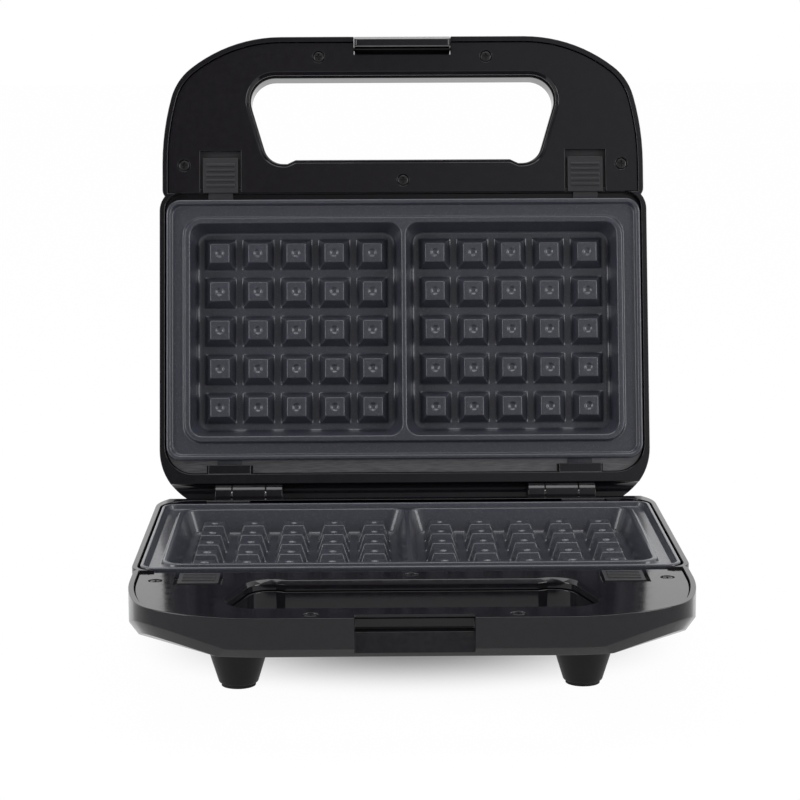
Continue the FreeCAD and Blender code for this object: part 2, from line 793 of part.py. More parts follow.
def make_shell(half, front, front_wall, cuts, additions):
    """A shell: the hull less the room for the plate, the heater, the frame and the handle opening."""
    hull = make_hull(half, front)
    pocket = slab(f"{half}_pocket",
                  rectangle_path(size("pocket_half"), size("reflector_rear") - size("pocket_gap"),
                                 size("wall_rear"), size("pocket_corner"),
                                 size("pocket_front_corner")),
                  ("-overrun", "reflector_level"))
    corner = size("pan_corner") + size("well_gap")
    well = slab(f"{half}_well",
                rectangle_path(size("well_half"), size("well_rear"), size("well_front"), corner, corner),
                ("plate_face", "room_turn"))
    wall = size("shell_wall")

    def room_path(across):
        return rectangle_path(size(across), size("room_rear"), size("room_front"),
                              size("rear_corner") - wall, size("front_corner") - wall)

    room = slab(f"{half}_room", room_path("room_half"), ("room_level", "room_turn"))
    floor_room = lofted(f"{half}_floor_room", [
        outline(f"{half}_floor_room_top", room_path("room_half"), "room_turn"),
        outline(f"{half}_floor_room_foot", room_path("room_floor_half"), "well_floor"),
    ])
    seat = slab(f"{half}_frame_seat", bow_path(front, wall, size("wall_rear"), 0),
                ("-overrun", "frame_seat"))
    hollow = make_bow_hollow(half, front, front_wall)
    opening = slab(f"{half}_opening", opening_path(-size("opening_step")),
                   ("-overrun", "skirt_depth + overrun"))
    collar = slab(f"{half}_collar_seat", opening_path(size("collar_wall") + size("frame_gap")),
                  ("-overrun", "collar_seat + frame_gap"))
    catch_slot = mirrored(f"{half}_catch_slots", block(
        f"{half}_catch_slot",
        ("button_x - catch_width / 2 - frame_gap", "button_x + catch_width / 2 + frame_gap"),
        ("wall_rear - pocket_gap", "wall_front + pocket_gap"), ("-overrun", "rail_level")))
    bores = at_screws("screw_bore", half, "screw_radius",
                      ("frame_face", "screw_seat + screw_length"), front)
    chamfer = make_rear_chamfer(half)
    groove = rod(f"{half}_hinge_groove", "barrel_radius + barrel_gap",
                 "2 * (rim_half_width + overrun)", ("-rim_half_width - overrun", "0", "0"), "x")
    carved = trimmed(f"{half}_carved", hull, [pocket, well, room, floor_room, seat, hollow, opening,
                                              collar, catch_slot, bores, chamfer, groove, *cuts])
    hooks = mirrored(f"{half}_hooks", block(
        f"{half}_hook", ("hook_x - hook_width / 2", "hook_x + hook_width / 2"),
        ("hook_rear", "hook_front"), ("hook_face", "catch_back")))
    return fused(f"{half}_solid", [carved, hooks, *additions])


def make_rear_chamfer(half):
    """The rear edge is cut back through the hinge axis, so that the halves meet when open."""
    lean = math.radians(size("chamfer_angle"))
    reach = size("rear_reach") + size("overrun")
    return side_profile(f"{half}_rear_chamfer",
                        [(0, 0), (-reach, reach * math.tan(lean)), (-reach, -reach), (0, -reach)],
                        "rim_half_width + overrun")


def hinge_pieces(name, spans):
    """Hinge barrels on their webs, each between two places across, on the right-hand hinge."""
    pieces = []
    for index, (low, high) in enumerate(spans):
        pieces.append(rod(f"{name}_barrel_{index}", "barrel_radius", f"({high}) - ({low})",
                          (low, "0", "0"), "x"))
        pieces.append(block(f"{name}_web_{index}", (low, high), ("-web_half", "web_half"),
                            ("0", "web_depth")))
    return mirrored(f"{name}_pair", fused(name, pieces))


def pin_bore(name, gap):
    bore = rod(name, f"hinge_pin_radius + {gap}", "2 * (hinge_half + overrun)",
               ("hinge_x - hinge_half - overrun", "0", "0"), "x")
    return mirrored(f"{name}_pair", bore)


def lip_pocket(name):
    """The room behind the latch notch that leaves a thin lip for the hook."""
    return block(name, ("-slot_half", "slot_half"), ("notch_rear - notch_pocket", "notch_rear"),
                 ("lip_level", "notch_split"))


def foot_places():
    return both_sides([(size("foot_x"), size("front_foot")), (size("foot_x"), size("rear_foot"))])


def make_base_shell():
    """The base has the ears of the hinge, the latch notch, the cord entry and the seats of the feet."""
    front = size("base_front")
    rise = (size("bow_front_depth") - size("notch_split")) / size("notch_depth")
    ahead = front + size("overrun")
    notch = side_profile("base_notch", [
        (size("notch_rear"), -size("overrun")),
        (ahead, -size("overrun")),
        (ahead, size("bow_front_depth") + rise * size("overrun")),
        (size("notch_rear"), size("notch_split")),
    ], "slot_half")
    front_wall = block("base_notch_wall", ("-slot_half - shell_wall", "slot_half + shell_wall"),
                       ("notch_rear - notch_pocket - shell_wall", "base_front"),
                       ("rim_level", "skirt_depth"))
    entry = rod("cord_entry", "gland_radius + gland_gap", "gland_seat + room_rear + overrun",
                ("0", "-gland_seat", "gland_depth"), "forward")
    seat = rod("cord_entry_seat", "gland_flange_radius + gland_gap", "overrun + gland_flange",
               ("0", "-gland_seat - gland_flange - overrun", "gland_depth"), "forward")
    inner, outer = "knuckle_width / 2 + ear_gap", "hinge_half"
    ears = hinge_pieces("ears", [(f"hinge_x - ({outer})", f"hinge_x - ({inner})"),
                                 (f"hinge_x + {inner}", f"hinge_x + {outer}")])
    foot_seat = rod("foot_seat", "foot_top_radius", "floor_wall", ("0", "0", "well_floor"))
    foot_seats = repeated("foot_seats", foot_seat, foot_places())
    shell = make_shell("base", front, front_wall,
                       [notch, lip_pocket("base_notch_pocket"), entry, seat], [ears, foot_seats])
    return trimmed("base_shell", shell, [pin_bore("ear_bore", "pin_seat_gap")])


def make_lid_shell():
    """The lid has the knuckles of the hinge, the latch slot and the holes for the lights."""
    slot = block("latch_slot", ("-slot_half", "slot_half"), ("slot_rear", "lid_front + overrun"),
                 ("-overrun", "skirt_depth"))
    front_wall = block("latch_slot_wall", ("-slot_half - shell_wall", "slot_half + shell_wall"),
                       ("slot_rear - shell_wall", "lid_front"), ("rim_level", "skirt_depth"))
    pin = rod("latch_pin_bore", "latch_pin_radius + pin_seat_gap",
              "2 * (slot_half + latch_pin_overlap)",
              ("-slot_half - latch_pin_overlap", "latch_pivot", "latch_pivot_depth"), "x")
    lenses = mirrored("lens_holes", rod(
        "lens_hole", "lens_radius + lens_gap", "floor_wall + 2 * overrun",
        ("lens_x", "lens_forward", "well_floor - overrun")))
    knuckles = hinge_pieces("knuckles", [
        ("hinge_x - knuckle_width / 2", "hinge_x + knuckle_width / 2")])
    shell = make_shell("lid", size("lid_front"), front_wall, [slot, pin, lenses], [knuckles])
    return trimmed("lid_shell", shell, [pin_bore("knuckle_bore", "pin_running_gap")])


# Inner frames and their screws

def make_frame(half, front, notch_rear):
    """The cover on the inner side of the bow, with a collar round the finger opening."""
    inset = size("shell_wall") + size("frame_gap")
    cover = slab(f"{half}_cover", bow_path(front, inset, size("frame_rear"), 0),
                 ("frame_face", "frame_seat"))
    collar = slab(f"{half}_collar", opening_path(size("collar_wall")), ("frame_face", "collar_seat"))
    opening = slab(f"{half}_frame_opening", opening_path(0), ("-overrun", "collar_seat + overrun"))
    bevel = lofted(f"{half}_opening_bevel", [
        outline(f"{half}_bevel_start", opening_path(2 * size("opening_bevel")),
                "frame_face - opening_bevel"),
        outline(f"{half}_bevel_end", opening_path(0), "frame_face + opening_bevel"),
    ])
    window = mirrored(f"{half}_windows", block(
        f"{half}_window", ("button_x - window_width / 2", "button_x + window_width / 2"),
        ("frame_rear - overrun", "window_front"), ("-overrun", "collar_seat")))
    notches = [block(f"{half}_frame_notch", ("-slot_half", "slot_half"), (notch_rear, "base_front"),
                     ("-overrun", "collar_seat"))]
    if half == "base":
        notches.append(lip_pocket("frame_lip_pocket"))
    sinks = at_screws("screw_sink", half, "screw_head_radius + screw_sink_gap",
                      ("frame_face - overrun", "screw_seat"), front)
    holes = at_screws("screw_hole", half, "screw_radius + screw_gap",
                      ("frame_face", "collar_seat"), front)
    blank = fused(f"{half}_frame_blank", [cover, collar])
    return trimmed(f"{half}_frame", blank, [opening, bevel, window, *notches, sinks, holes])


def make_screws(half, front):
    heads = at_screws("screw_head", half, "screw_head_radius",
                      ("screw_seat - screw_head_height", "screw_seat"), front)
    shanks = at_screws("screw_shank", half, "screw_radius",
                       ("screw_seat", "screw_seat + screw_length"), front)
    return fused(f"{half}_screws", [heads, shanks])


# Plate release buttons

def make_button(name, sign):
    """A ribbed button on a slider, with a catch over the plate's lug and a post for its spring."""
    middle = f"{sign}button_x"

    def piece(part, half, forward, depth):
        return block(f"{name}_{part}", (f"{middle} - ({half})", f"{middle} + {half}"), forward, depth)

    pad = piece("pad", "button_width / 2", ("frame_rear", "button_front"),
                ("button_face", "frame_seat - slider_gap"))
    stem = piece("stem", "button_width / 2", ("slider_rear", "button_front"),
                 ("button_face", "slider_back"))
    slider = piece("slider", "slider_half", ("slider_rear", "window_front + slider_lip"),
                   ("slider_level", "slider_back"))
    catch = piece("catch", "catch_width / 2", ("frame_rear - catch_reach", "slider_rear + slider_lip"),
                  ("catch_back - catch_thickness", "catch_back"))
    post = piece("post", "post_width / 2", ("post_rear", "post_front"),
                 ("slider_back", "slider_back + post_depth"))
    rows = "(rib_rows - 1) * rib_pitch"
    rib_rear = f"frame_rear + (button_length - {rows} - rib_thickness) / 2"
    rib = piece("rib", "button_width / 2 - rib_inset", (rib_rear, f"{rib_rear} + rib_thickness"),
                ("button_face - rib_height", "button_face"))
    pitch = size("rib_pitch")
    ribs = repeated(f"{name}_ribs", rib, [(0, row * pitch) for row in range(int(size("rib_rows")))])
    return fused(name, [pad, stem, slider, catch, post, ribs])


def make_spring(name, sign):
    """The return spring between the button's post and the wall ahead of it."""
    at = (f"{sign}button_x", "post_front", "spring_level")
    coil = rod(f"{name}_outside", "spring_radius", "spring_length", at, "forward")
    bore = rod(f"{name}_inside", "spring_radius - spring_wire", "spring_length", at, "forward")
    return trimmed(name, coil, [bore])


# Heat reflectors and heaters

def make_reflector(half):
    """A pressed sheet pan whose flange lies between the plate and the shell."""
    flange = slab(f"{half}_flange",
                  rectangle_path(size("plate_half"), size("reflector_rear"), size("plate_front"),
                                 size("reflector_corner"), size("reflector_front_corner")),
                  ("plate_seat", "reflector_level"))

    def dish(name, inset, mouth, floor):
        """The pan, or the room in it: straight beside the plate, then narrowing to its floor."""
        def path(across):
            corner = size("pan_corner") - inset
            return rectangle_path(size(across) - inset, size("pan_rear") + inset,
                                  size("pan_front") - inset, corner, corner)

        narrowing = lofted(f"{name}_foot", [
            outline(f"{name}_turn", path("pan_half"), "pan_turn"),
            outline(f"{name}_floor", path("pan_floor_half"), floor),
        ])
        return [slab(f"{name}_mouth", path("pan_half"), (mouth, "pan_turn")), narrowing]

    pan = dish(f"{half}_pan", 0, "plate_seat", "pan_back")
    room = dish(f"{half}_pan_room", size("sheet_metal"), "plate_seat - overrun", "pan_back - sheet_metal")
    notches = mirrored(f"{half}_hook_notches", block(
        f"{half}_hook_notch",
        ("hook_x - hook_width / 2 - hook_notch_gap", "hook_x + hook_width / 2 + hook_notch_gap"),
        ("reflector_rear - overrun", "hook_front"),
        ("plate_seat - overrun", "reflector_level + overrun")))
    tails = mirrored(f"{half}_tail_holes", rod(
        f"{half}_tail_hole", "heater_radius + heater_hole_gap", "2 * overrun",
        ("heater_tail_x", "heater_rear", "pan_back - overrun")))
    pressing = fused(f"{half}_pressing", [flange, *pan])
    return trimmed(f"{half}_reflector", pressing, [*room, notches, tails])


def rounded_run(corners):
    """A wire of straight runs through (x, forward, depth, radius) joined by tangent arcs."""
    points = [Vector(x, -forward, depth) for x, forward, depth, radius in corners]
    edges = []
    start = points[0]
    for index in range(1, len(points) - 1):
        here = points[index]
        before = (points[index - 1] - here).normalize()
        after = (points[index + 1] - here).normalize()
        half = before.getAngle(after) / 2
        radius = corners[index][3]
        run = radius / math.tan(half)
        middle = here + (before + after).normalize() * (radius / math.sin(half) - radius)
        edges.append(Part.LineSegment(start, here + before * run).toShape())
        edges.append(Part.Arc(here + before * run, middle, here + after * run).toShape())
        start = here + after * run
    edges.append(Part.LineSegment(start, points[-1]).toShape())
    return Part.Wire(edges)


def make_heater(half):
    """A tubular element: one open loop under both cavities, with its tails through the pan."""
    level, tail = size("heater_level"), size("heater_tail_x")
    span, bend = size("heater_half"), size("heater_bend")
    rear, front = size("heater_rear"), size("heater_front")
    down = size("pan_back") + size("heater_tail_reach")
    right = [(span, front, level, bend), (span, rear, level, bend),
             (tail, rear, level, size("heater_tail_bend")), (tail, rear, down, 0)]
    left = [(-x, forward, depth, radius) for x, forward, depth, radius in reversed(right)]
    path = doc.addObject("Part::Feature", f"{half}_heater_path")
    path.Shape = rounded_run(left + right)
    ring = doc.addObject("Part::Circle", f"{half}_heater_section")
    bind(ring, Radius="heater_radius", x="-heater_tail_x", y="-heater_rear",
         z="pan_back + heater_tail_reach")
    tube = doc.addObject("Part::Sweep", f"{half}_heater")
    tube.Sections = [ring]
    tube.Spine = (path, [f"Edge{number}" for number in range(1, len(path.Shape.Edges) + 1)])
    tube.Solid = True
    return tube


def make_clips(half):
    """Saddles that carry the heater on the floor of the pan, at its sides and its front."""
    room = ("heater_level + clip_cover", "pan_back - sheet_metal")
    side = trimmed(f"{half}_side_clip", block(
        f"{half}_side_saddle", ("heater_half - clip_width / 2", "heater_half + clip_width / 2"),
        ("plate_middle - clip_length / 2", "plate_middle + clip_length / 2"), room), [
            rod(f"{half}_side_groove", "heater_radius + clip_gap", "clip_length + 2 * overrun",
                ("heater_half", "plate_middle - clip_length / 2 - overrun", "heater_level"), "forward")])
    front = trimmed(f"{half}_front_clip", block(
        f"{half}_front_saddle", ("cavity_centre - clip_length / 2", "cavity_centre + clip_length / 2"),
        ("heater_front - clip_width / 2", "heater_front + clip_width / 2"), room), [
            rod(f"{half}_front_groove", "heater_radius + clip_gap", "clip_length + 2 * overrun",
                ("cavity_centre - clip_length / 2 - overrun", "heater_front", "heater_level"), "x")])
    pairs = [mirrored(f"{clip.Name}_pair", clip) for clip in (side, front)]
    return group(f"{half}_heater_clips", pairs)


# Latch

def make_latch():
    """A clip that turns on the lid's front edge and hooks under the lip of the base."""
    barrel = rod("latch_barrel", "latch_barrel_radius", "latch_width",
                 ("-latch_width / 2", "latch_pivot", "latch_pivot_depth"), "x")
    blade = block("latch_blade", ("-latch_width / 2", "latch_width / 2"), ("latch_inner", "latch_outer"),
                  ("-latch_reach", "latch_pivot_depth"))
    hook = block("latch_hook", ("-latch_width / 2", "latch_width / 2"),
                 ("notch_rear + latch_catch_gap", "latch_outer"),
                 ("-latch_reach", "latch_hook_height - latch_reach"))
    blank = trimmed("latch_blank", fused("latch_pieces", [barrel, blade, hook]), [
        rod("latch_bore", "latch_pin_radius + pin_running_gap", "latch_width + 2 * overrun",
            ("-latch_width / 2 - overrun", "latch_pivot", "latch_pivot_depth"), "x")])
    touch = PICK_SHARE * size("overrun")

    def tip_corner(edge):
        ends = [vertex.Point for vertex in edge.Vertexes]
        return all(abs(point.z + size("latch_reach")) < touch for point in ends) and (
            abs(ends[0].x - ends[-1].x) < touch)

    return rounded("latch_clip", blank, size("latch_corner"), tip_corner)


# Lights, feet and electrical parts

def make_lens(name, sign):
    at = f"{sign}lens_x"
    stem = rod(f"{name}_stem", "lens_radius", "floor_wall", (at, "lens_forward", "well_floor"))
    lip = rod(f"{name}_lip", "lens_lip_radius", "lens_lip", (at, "lens_forward", "body_depth"))
    top = size("body_depth") + size("lens_lip") / 2
    dome = rounded(f"{name}_dome", lip, size("lens_round"),
                   lambda edge: edge.Closed and edge.CenterOfMass.z > top)
    return fused(name, [stem, dome])


def make_terminal_block():
    """A block of screw terminals that stands on the floor of the base."""
    body = block("terminal_body", ("-terminal_length / 2", "terminal_length / 2"),
                 ("terminal_rear", "terminal_rear + terminal_width"),
                 ("well_floor - terminal_height", "well_floor"))
    hole = rod("terminal_hole", "terminal_hole_radius", "terminal_hole_depth + overrun",
               ("0", "terminal_rear + terminal_width / 2", "well_floor - terminal_height - overrun"))
    pitch = size("terminal_hole_pitch")
    holes = repeated("terminal_holes", hole, [(-pitch, 0), (0, 0), (pitch, 0)])
    return trimmed("terminal_block", body, [holes])


def make_gland():
    """The bush that lines the cord entry in the rear wall."""
    flange = rod("gland_flange", "gland_flange_radius", "gland_flange",
                 ("0", "-gland_seat - gland_flange", "gland_depth"), "forward")
    sleeve = rod("gland_sleeve", "gland_radius", "gland_seat + room_rear + gland_nose",
                 ("0", "-gland_seat", "gland_depth"), "forward")
    bore = rod("gland_bore_cut", "gland_bore", "gland_flange + gland_seat + room_rear + gland_nose",
               ("0", "-gland_seat - gland_flange", "gland_depth"), "forward")
    return trimmed("cord_gland", fused("gland_bush", [flange, sleeve]), [bore])


def make_foot(name, sign, forward):
    return cone(f"{name}_cone", "foot_top_radius", "foot_bottom_radius", "foot_height",
                (f"{sign}foot_x", forward, "body_depth"))


def make_pads():
    pad = rod("foot_pad", "foot_pad_radius", "foot_pad_height", ("0", "0", "body_depth + foot_height"))
    return repeated("foot_pad_set", pad, foot_places())


# Assembly: each sub-part with the half that carries it

SIDES = {"base": {"left": "", "right": "-"}, "lid": {"left": "-", "right": ""}}
HALF_PREFIX = {"base": "lower", "lid": "upper"}
assembly = {"base": {}, "lid": {}}


def add(half, name, thing):
    assembly[half][name] = thing


for half, notch_rear in (("base", "notch_rear"), ("lid", "slot_rear")):
    front = size(f"{half}_front")
    prefix = HALF_PREFIX[half]
    add(half, f"{half}_shell", make_base_shell() if half == "base" else make_lid_shell())
    add(half, f"{half}_frame", make_frame(half, front, notch_rear))
    add(half, f"{half}_frame_screws", make_screws(half, front))
    add(half, f"{prefix}_plate", make_plate(prefix))
    add(half, f"{prefix}_reflector", make_reflector(prefix))
    add(half, f"{prefix}_heater", make_heater(prefix))
    add(half, f"{prefix}_heater_clips", make_clips(prefix))
    for side, sign in SIDES[half].items():
        add(half, f"{prefix}_button_{side}", make_button(f"{prefix}_button_{side}", sign))
        add(half, f"{prefix}_spring_{side}", make_spring(f"{prefix}_spring_{side}", sign))

for side, sign in SIDES["base"].items():
    for end in ("front", "rear"):
        name = f"foot_{end}_{side}"
        add("base", name, make_foot(name, sign, f"{end}_foot"))
    add("base", f"hinge_pin_{side}", rod(
        f"hinge_pin_{side}_rod", "hinge_pin_radius", "2 * hinge_half",
        (f"{sign}hinge_x - hinge_half", "0", "0"), "x"))
add("base", "foot_pads", make_pads())
add("base", "thermostat", rod("thermostat_can", "thermostat_radius", "thermostat_height",
                              ("0", "plate_middle", "pan_back")))
add("base", "thermal_fuse", rod("fuse_can", "fuse_radius", "fuse_length",
                                ("fuse_x", "plate_middle", "pan_back + fuse_radius"), "x"))
add("base", "terminal_block", make_terminal_block())
add("base", "cord_gland", make_gland())
add("lid", "latch_clip", make_latch())
add("lid", "latch_pin", rod("latch_pin_rod", "latch_pin_radius", "2 * (slot_half + latch_pin_overlap)",
                            ("-slot_half - latch_pin_overlap", "latch_pivot", "latch_pivot_depth"), "x"))
for light, sign in (("power", "-"), ("ready", "")):
    add("lid", f"{light}_lens", make_lens(f"{light}_lens", sign))
    add("lid", f"{light}_lamp", rod(f"{light}_lamp_bulb", "lamp_radius", "lamp_length",
                                    (f"{sign}lens_x", "lens_forward", "well_floor - lamp_length")))

HALF_TURNS = {
    "base": FreeCAD.Rotation(Vector(0, 1, 0), 180),
    "lid": FreeCAD.Rotation(Vector(1, 0, 0), -size("open_angle")),
}
PRIMITIVES = ("Part::Cylinder", "Part::Cone", "Part::Feature")


def seated(half, name, thing):
    """The finished sub-part under its own label, turned to its half's pose about the hinge axis."""
    part = group(name, [thing]) if thing.TypeId in PRIMITIVES else thing
    part.Label = name
    part.Placement = FreeCAD.Placement(Vector(), HALF_TURNS[half])
    return part


parts = [
    seated(half, name, thing)
    for half, things in assembly.items()
    for name, thing in things.items()
]
doc.recompute()

# The origin is under the middle of the open object, on the surface that it stands on
boxes = [part.Shape.optimalBoundingBox() for part in parts]
middle = (min(box.YMin for box in boxes) + max(box.YMax for box in boxes)) / 2
hinge_place = Vector(0, -middle, size("hinge_height"))
for part in parts:
    part.Placement.Base = hinge_place
doc.recompute()

failed = [thing.Label for thing in doc.Objects if {"Invalid", "Error"} & set(thing.State)]
failed += [part.Label for part in parts if part.Shape.isNull() or not part.Shape.isValid()]
if failed:
    raise RuntimeError(f"These did not build: {failed}")

os.makedirs("parts", exist_ok=True)
for part in parts:
    part.Shape.exportStep(f"parts/{part.Label}.step")
    print(part.Label, len(part.Shape.Solids), round(part.Shape.Volume))
print("hinge axis at", hinge_place)
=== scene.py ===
# %% [markdown]
# # A snack maker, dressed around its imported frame
# The construction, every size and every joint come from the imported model. This lesson adds what
# the eye reads on the real cooker: rounded edges that catch the light, coated castings with rows
# of studs, glossy moulded plastic, cross-head screws and soft studio light.

# %% Load the frame
import json
import math

import bmesh
import bpy
from mathutils import Matrix, Vector


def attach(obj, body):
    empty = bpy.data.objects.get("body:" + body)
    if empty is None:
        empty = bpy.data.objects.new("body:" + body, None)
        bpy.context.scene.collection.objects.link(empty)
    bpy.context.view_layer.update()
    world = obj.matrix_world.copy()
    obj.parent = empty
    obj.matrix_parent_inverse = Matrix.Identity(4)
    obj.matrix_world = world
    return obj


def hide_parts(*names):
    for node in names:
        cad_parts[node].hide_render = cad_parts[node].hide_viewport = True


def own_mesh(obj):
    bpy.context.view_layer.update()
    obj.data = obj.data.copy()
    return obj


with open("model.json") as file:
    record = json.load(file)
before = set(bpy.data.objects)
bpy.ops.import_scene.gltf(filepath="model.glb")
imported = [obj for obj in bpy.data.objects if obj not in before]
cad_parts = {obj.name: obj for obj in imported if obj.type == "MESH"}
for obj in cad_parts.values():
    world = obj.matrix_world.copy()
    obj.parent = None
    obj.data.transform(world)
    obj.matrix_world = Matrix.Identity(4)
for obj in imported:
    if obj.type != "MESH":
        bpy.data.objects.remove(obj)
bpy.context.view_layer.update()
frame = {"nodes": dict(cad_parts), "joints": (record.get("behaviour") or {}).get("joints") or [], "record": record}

scene = bpy.context.scene
record = frame["record"]
MM = 0.001
BODY_OF = {node: body for body, nodes in record["behaviour"]["bodies"].items() for node in nodes}
SLOT_OF = {row["node"]: row["material_slot"] for row in record["subparts"]}

# %% [markdown]
# ## The two halves
# The cooker is two halves on one hinge. Each is modelled lying flat: x to the right, y towards the
# hinge and z outwards from the plane where the halves meet. A matrix then seats it: the base is
# turned over, and the lid is swung open by the angle that its hinge can close. The places could be
# measured by eye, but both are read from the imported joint, so that a piece lands on its solid.

# %% Read the hinge
JOINTS = {joint["name"]: joint for joint in frame["joints"]}
HINGE = Vector(JOINTS["lid_hinge"]["pos_m"])
OPEN_ANGLE = math.radians(JOINTS["lid_hinge"]["range_deg"][1])
SEATS = {
    "base": Matrix.Translation(HINGE) @ Matrix.Rotation(math.pi, 4, "Y"),
    "lid": Matrix.Translation(HINGE) @ Matrix.Rotation(-OPEN_ANGLE, 4, "X"),
}
print("hinge axis in mm:", [round(value / MM, 2) for value in HINGE])

# %% [markdown]
# ## The camera
# The photograph's camera was solved on the corners of the two cooking plates. It stands about a
# metre away, ten degrees above the table, and a long lens keeps the halves almost free of
# perspective. Placed by eye, it would leave each edge some pixels off, so the solved numbers are
# used: a focal length in pixels, a distance, three angles and the point that it aims at.

# %% Set the camera
IMAGE_SIDE = 800
FOCAL_LENGTH_PIXELS = 2399.7
SENSOR_WIDTH = 36
CLIP_START = 0.01
CAMERA_DISTANCE = 1.0781
CAMERA_AZIMUTH = math.radians(-0.786)
CAMERA_ELEVATION = math.radians(9.979)
CAMERA_ROLL = math.radians(-0.212)
AIM_FROM_HINGE = Vector((-3.569, -81.0, 60.69)) * MM


def set_camera():
    lens = bpy.data.cameras.new("studio_camera")
    lens.sensor_width = SENSOR_WIDTH
    lens.lens = FOCAL_LENGTH_PIXELS / IMAGE_SIDE * SENSOR_WIDTH
    lens.clip_start = CLIP_START
    camera = bpy.data.objects.new("studio_camera", lens)
    scene.collection.objects.link(camera)
    level = math.cos(CAMERA_ELEVATION)
    back = Vector((math.sin(CAMERA_AZIMUTH) * level, -math.cos(CAMERA_AZIMUTH) * level,
                   math.sin(CAMERA_ELEVATION)))
    place = Matrix.Translation(HINGE + AIM_FROM_HINGE + back * CAMERA_DISTANCE)
    turn = (-back).to_track_quat("-Z", "Y").to_matrix().to_4x4()
    camera.matrix_world = place @ turn @ Matrix.Rotation(CAMERA_ROLL, 4, "Z")
    scene.camera = camera
    return camera


print("camera at", [round(value, 3) for value in set_camera().matrix_world.translation])
scene.view_settings.view_transform = "Standard"

# %% [markdown]
# ## One helper for nodes
# Materials, the world and the geometry trees are all node trees. They could be written out line by
# line, but one small function that adds a node, sets it up and links its inputs keeps each tree
# short. Colours are written as the hex values that a paint program shows, and a second function
# turns them into the linear numbers that the renderer works with.


# %% Node and colour helpers
def add_node(tree, kind, inputs=None, **settings):
    """Add a node; inputs maps a socket's name or number to a value, an output or some outputs."""
    made = tree.nodes.new(kind)
    for name, value in settings.items():
        setattr(made, name, value)
    for name, value in (inputs or {}).items():
        sources = value if isinstance(value, list) else [value]
        if isinstance(sources[0], bpy.types.NodeSocket):
            for source in sources:
                tree.links.new(source, made.inputs[name])
        else:
            made.inputs[name].default_value = value
    return made


def linear(hex_colour):
    """Linear RGBA of an sRGB hex colour such as #1c1c1e."""
    shares = [int(hex_colour[start:start + 2], 16) / 255 for start in (1, 3, 5)]
    return tuple(((share + 0.055) / 1.055) ** 2.4 if share > 0.04045 else share / 12.92
                 for share in shares) + (1.0,)


def new_material(name):
    """An empty node material: the material, its tree and its output node."""
    material = bpy.data.materials.new(name)
    material.use_nodes = True
    tree = material.node_tree
    tree.nodes.clear()
    return material, tree, add_node(tree, "ShaderNodeOutputMaterial")


print("#808080 is", round(linear("#808080")[0], 3), "in linear light")

# %% [markdown]
# ## Studio light from all round
# The cooker was photographed on white: light from all round, and a dark room behind the camera.
# That dark room is why the lid's glossy cover, which faces the front, stays black, while all that
# tilts towards the back or the sides picks up a pale sheen. An evenly white world would turn the
# gloss grey, so this one is even for soft light, white for the camera, and for reflections white
# behind and dim in front.

# %% Light the room
SOFT_LIGHT = (0.84, 0.58)  # strength from the front and from behind
ROOM_BEHIND_CAMERA = (0.08, 0.36)  # what the gloss mirrors of it, on the left and on the right
LEFT_TO_RIGHT = (-0.12, 0.16)  # the directions between which the room changes
FRONT_TO_BACK = (-0.3, 0.4)
WHITE = 1.0


def set_world():
    world = bpy.data.worlds.new("studio")
    scene.world = world
    world.use_nodes = True
    tree = world.node_tree
    tree.nodes.clear()
    place = add_node(tree, "ShaderNodeTexCoord")
    axes = add_node(tree, "ShaderNodeSeparateXYZ", {0: place.outputs["Generated"]})
    room = add_node(tree, "ShaderNodeMapRange", {
        "Value": axes.outputs["X"], "From Min": LEFT_TO_RIGHT[0], "From Max": LEFT_TO_RIGHT[1],
        "To Min": ROOM_BEHIND_CAMERA[0], "To Max": ROOM_BEHIND_CAMERA[1]},
        interpolation_type="SMOOTHSTEP")
    mirrored = add_node(tree, "ShaderNodeMapRange", {
        "Value": axes.outputs["Y"], "From Min": FRONT_TO_BACK[0], "From Max": FRONT_TO_BACK[1],
        "To Min": room.outputs[0], "To Max": WHITE}, interpolation_type="SMOOTHSTEP")
    spread = add_node(tree, "ShaderNodeMapRange", {
        "Value": axes.outputs["Y"], "From Min": -1.0, "From Max": 1.0,
        "To Min": SOFT_LIGHT[0], "To Max": SOFT_LIGHT[1]})
    path = add_node(tree, "ShaderNodeLightPath")
    soft = add_node(tree, "ShaderNodeMix", {
        0: path.outputs["Is Diffuse Ray"], 2: mirrored.outputs[0], 3: spread.outputs[0]})
    seen = add_node(tree, "ShaderNodeMix", {
        0: path.outputs["Is Camera Ray"], 2: soft.outputs[0], 3: WHITE})
    glow = add_node(tree, "ShaderNodeBackground", {
        "Color": linear("#ffffff"), "Strength": seen.outputs[0]})
    add_node(tree, "ShaderNodeOutputWorld", {"Surface": glow.outputs[0]})
    return world


print("world:", set_world().name)

# %% [markdown]
# ## Softboxes
# A large softbox hangs overhead and one stands at each side. Point lamps would leave small hard
# spots on the gloss; wide rectangles leave the long soft lines that show where a form bends.

# %% Set up the softboxes
SIDE_HEIGHT, SIDE_SIZE, SIDE_POWER = 0.36, (0.5, 1.1), 8.0
SIDE_AIM = (0, 0.02, 0.14)
SOFTBOXES = (  # name, place, aim and size in metres, power in watts
    ("softbox_above", (0, 0.0, 1.3), (0, 0, 0), (1.3, 0.7), 7.0),
    ("softbox_left", (-1.1, -0.55, SIDE_HEIGHT), SIDE_AIM, SIDE_SIZE, SIDE_POWER),
    ("softbox_right", (1.1, -0.55, SIDE_HEIGHT), SIDE_AIM, SIDE_SIZE, SIDE_POWER),
)


